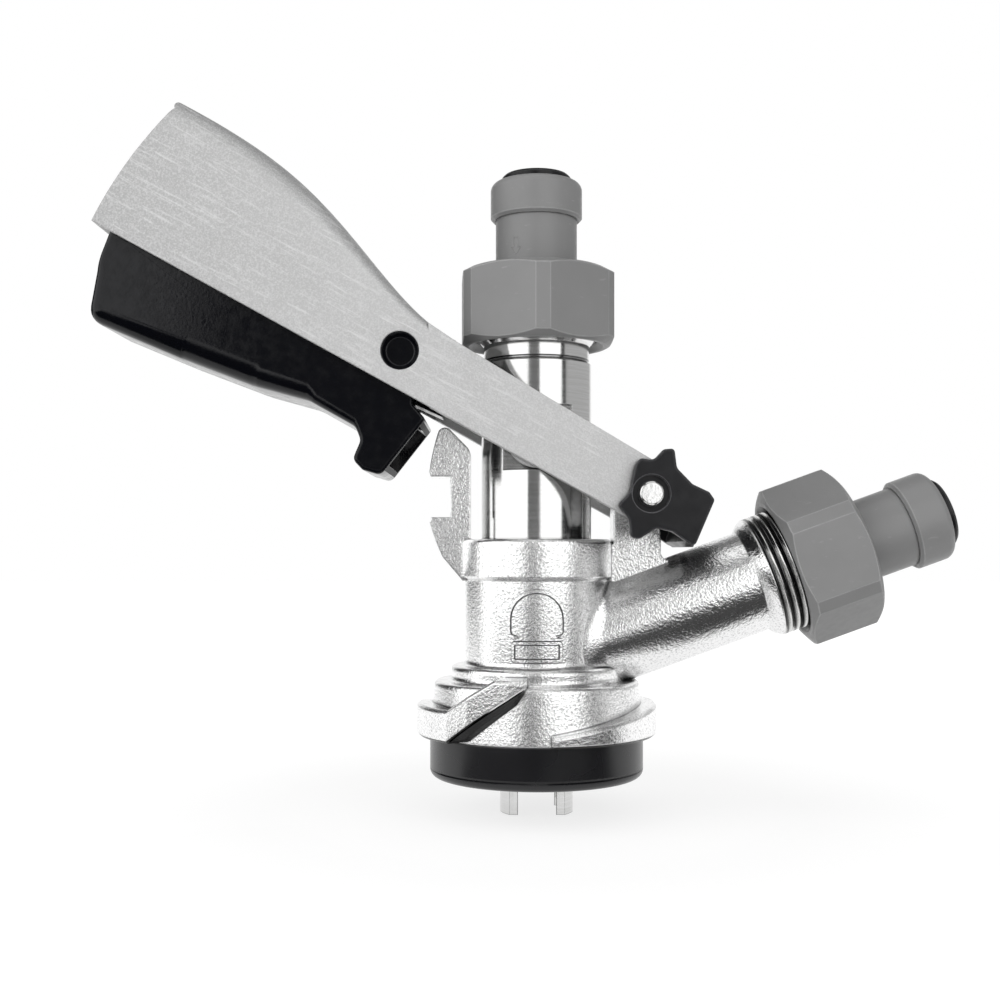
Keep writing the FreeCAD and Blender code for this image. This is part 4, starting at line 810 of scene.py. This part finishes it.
# the bar between the legs, seen along the pin
BRIDGE = [(9.45, 1.41), (11.8, 0.3), (12.9, -1.3), (8.8, -10.9), (7.25, -9.83), (9.6, -2.0)]
PIN_X, PIN_Z, STAR_EDGE = 22.9, 60.2, 0.45
LEG_IN, LEG_OUT, RECESS_FLOOR = 16.1, 18.6, 17.3
RECESS_RADIUS, NECK_RADIUS = 3.9, 2.5


def circle(bm, radius, y):
    """A ring of points round the pin's axis."""
    return [bm.verts.new(((PIN_X + radius * math.cos(a)) * MM, y * MM, (PIN_Z + radius * math.sin(a)) * MM))
            for a in (2 * math.pi * i / 40 for i in range(40))]


def ring_edges(bm, ring):
    """The edges between neighbours of a closed ring, made where they are missing."""
    pairs = [(ring[i - 1], ring[i]) for i in range(len(ring))]
    return [bm.edges.get(pair) or bm.edges.new(pair) for pair in pairs]


bm = bmesh.new()
outline = rounded_corners([(PIN_X + x, PIN_Z + z, radius, STAR_EDGE) for x, z, radius in reversed(STAR)])
for sign in (-1, 1):
    rings = side_rings(bm, outline, LEG_OUT, sign, 3)
    inner = [bm.verts.new((v.co.x, sign * LEG_IN * MM, v.co.z)) for v in rings[0]]
    for first, second in zip([inner] + rings, rings):
        bridge_rings(bm, first, second)
    rim = circle(bm, RECESS_RADIUS, sign * LEG_OUT)
    floor_ring = circle(bm, RECESS_RADIUS, sign * RECESS_FLOOR)
    neck_out = circle(bm, NECK_RADIUS, sign * RECESS_FLOOR)
    neck_in = circle(bm, NECK_RADIUS, sign * LEG_IN)
    for first, second in ((rim, floor_ring), (floor_ring, neck_out), (neck_out, neck_in)):
        bridge_rings(bm, first, second)
    bmesh.ops.triangle_fill(bm, edges=ring_edges(bm, rings[-1]) + ring_edges(bm, rim), use_beauty=True)
    bmesh.ops.triangle_fill(bm, edges=ring_edges(bm, inner) + ring_edges(bm, neck_in), use_beauty=True)
face = bm.faces.new([bm.verts.new(((PIN_X + x) * MM, -LEG_IN * MM, (PIN_Z + z) * MM)) for x, z in BRIDGE])
extruded(bm, [face], (0, 2 * LEG_IN * MM, 0))
clip_skin = linked(bm, "clip_skin", clip_black, "lever_assembly")
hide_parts("pivot_clip")
print("clip:", len(clip_skin.data.polygons), "faces")

# %% [markdown]
# ## Undersides of the ramps
# Each ramp stands off the base with a slanting lower side, which is in deep shade. A strip
# runs from the ramp's lower edge down to the base's cone, follows the ramp's climb and tapers
# to nothing at the bottom. The second strip stands half a turn on.

# %% Ramp undersides
RAMP_LOW, RAMP_RISE, RAMP_FROM, RAMP_TO = 9.1, 11.6, 44.0, 83.0
EDGE_RADIUS, CONE_RADIUS, CONE_TAPER, LIFT = 25.6, 23.0, 0.8, 0.1
STRIP_DROP, STRIP_STEPS = 1.9, 24

bm = bmesh.new()
for turn in (0, 180):
    pairs = []
    for step in range(STRIP_STEPS + 1):
        t = step / STRIP_STEPS
        a = math.radians(RAMP_FROM + (RAMP_TO - RAMP_FROM) * t + turn)
        low = RAMP_LOW + RAMP_RISE * t + LIFT
        drop = min(STRIP_DROP * min(1.0, t * 5) * min(1.0, (1 - t) * 6 + 0.3), low - RAMP_LOW)
        cone = CONE_RADIUS - CONE_TAPER * (low - drop - RAMP_LOW) / RAMP_RISE + LIFT / 2
        profile = ((EDGE_RADIUS, low), ((EDGE_RADIUS + cone) / 2, low - drop * 0.62), (cone, low - drop))
        pairs.append([bm.verts.new((r * math.cos(a) * MM, r * math.sin(a) * MM, z * MM)) for r, z in profile])
    for first, second in zip(pairs, pairs[1:]):
        for i in (0, 1):
            bm.faces.new((first[i], first[i + 1], second[i + 1], second[i]))
shade = Finish("ramp_shade", (0.02, 0.02, 0.02), 0.6, 0.4)
shade.normal(shade.bump(shade.noise(1500, 3.0), 0.2 * MM, 0.5))
ramp_undersides = linked(bm, "ramp_undersides", shade, "coupler")
print("ramp undersides:", len(ramp_undersides.data.polygons), "faces")

# %% [markdown]
# ## Flow arrow
# The beer adapter has a small moulded arrow that points down the stem. Its outline is a plain
# block arrow; an inset leaves only a thin line of it, a tenth of a millimetre proud, painted pale
# as a highlight.

# %% Flow arrow
STEM_RADIUS = 8.8 * MM
ARROW_X, ARROW_TOP, ARROW_NECK, ARROW_TIP = -4.7 * MM, 114.9 * MM, 112.9 * MM, 111.2 * MM
SHAFT_HALF, HEAD_HALF, LINE_WIDTH, LINE_HEIGHT = 0.45 * MM, 1.15 * MM, 0.22 * MM, 0.1 * MM

bm = bmesh.new()
half = [(SHAFT_HALF, ARROW_TOP), (SHAFT_HALF, ARROW_NECK), (HEAD_HALF, ARROW_NECK)]
outline = half + [(0.0, ARROW_TIP)] + [(-x, z) for x, z in reversed(half)]
face = bm.faces.new([bm.verts.new((ARROW_X + x, 0, z)) for x, z in outline])
bmesh.ops.inset_region(bm, faces=[face], thickness=LINE_WIDTH, use_boundary=True, use_even_offset=True)
bmesh.ops.delete(bm, geom=[f for f in bm.faces if len(f.verts) > 4], context="FACES")
extruded(bm, bm.faces[:], (0, -LINE_HEIGHT, 0))
bend_round(bm, STEM_RADIUS)
# Painted highlight: the moulded line is coloured pale.
pale = Finish("arrow_painted_highlight", (0.58, 0.58, 0.58), 0.0, 0.5)
pale.normal(pale.bump(pale.noise(1500, 2.0), 0.02 * MM, 0.2))
arrow = linked(bm, "flow_arrow", pale, "probe_assembly")
print("arrow:", len(arrow.data.polygons), "faces")

# %% [markdown]
# ## Look
# Colours are shown plainly.

# %% Look
bpy.context.scene.view_settings.view_transform = "Standard"
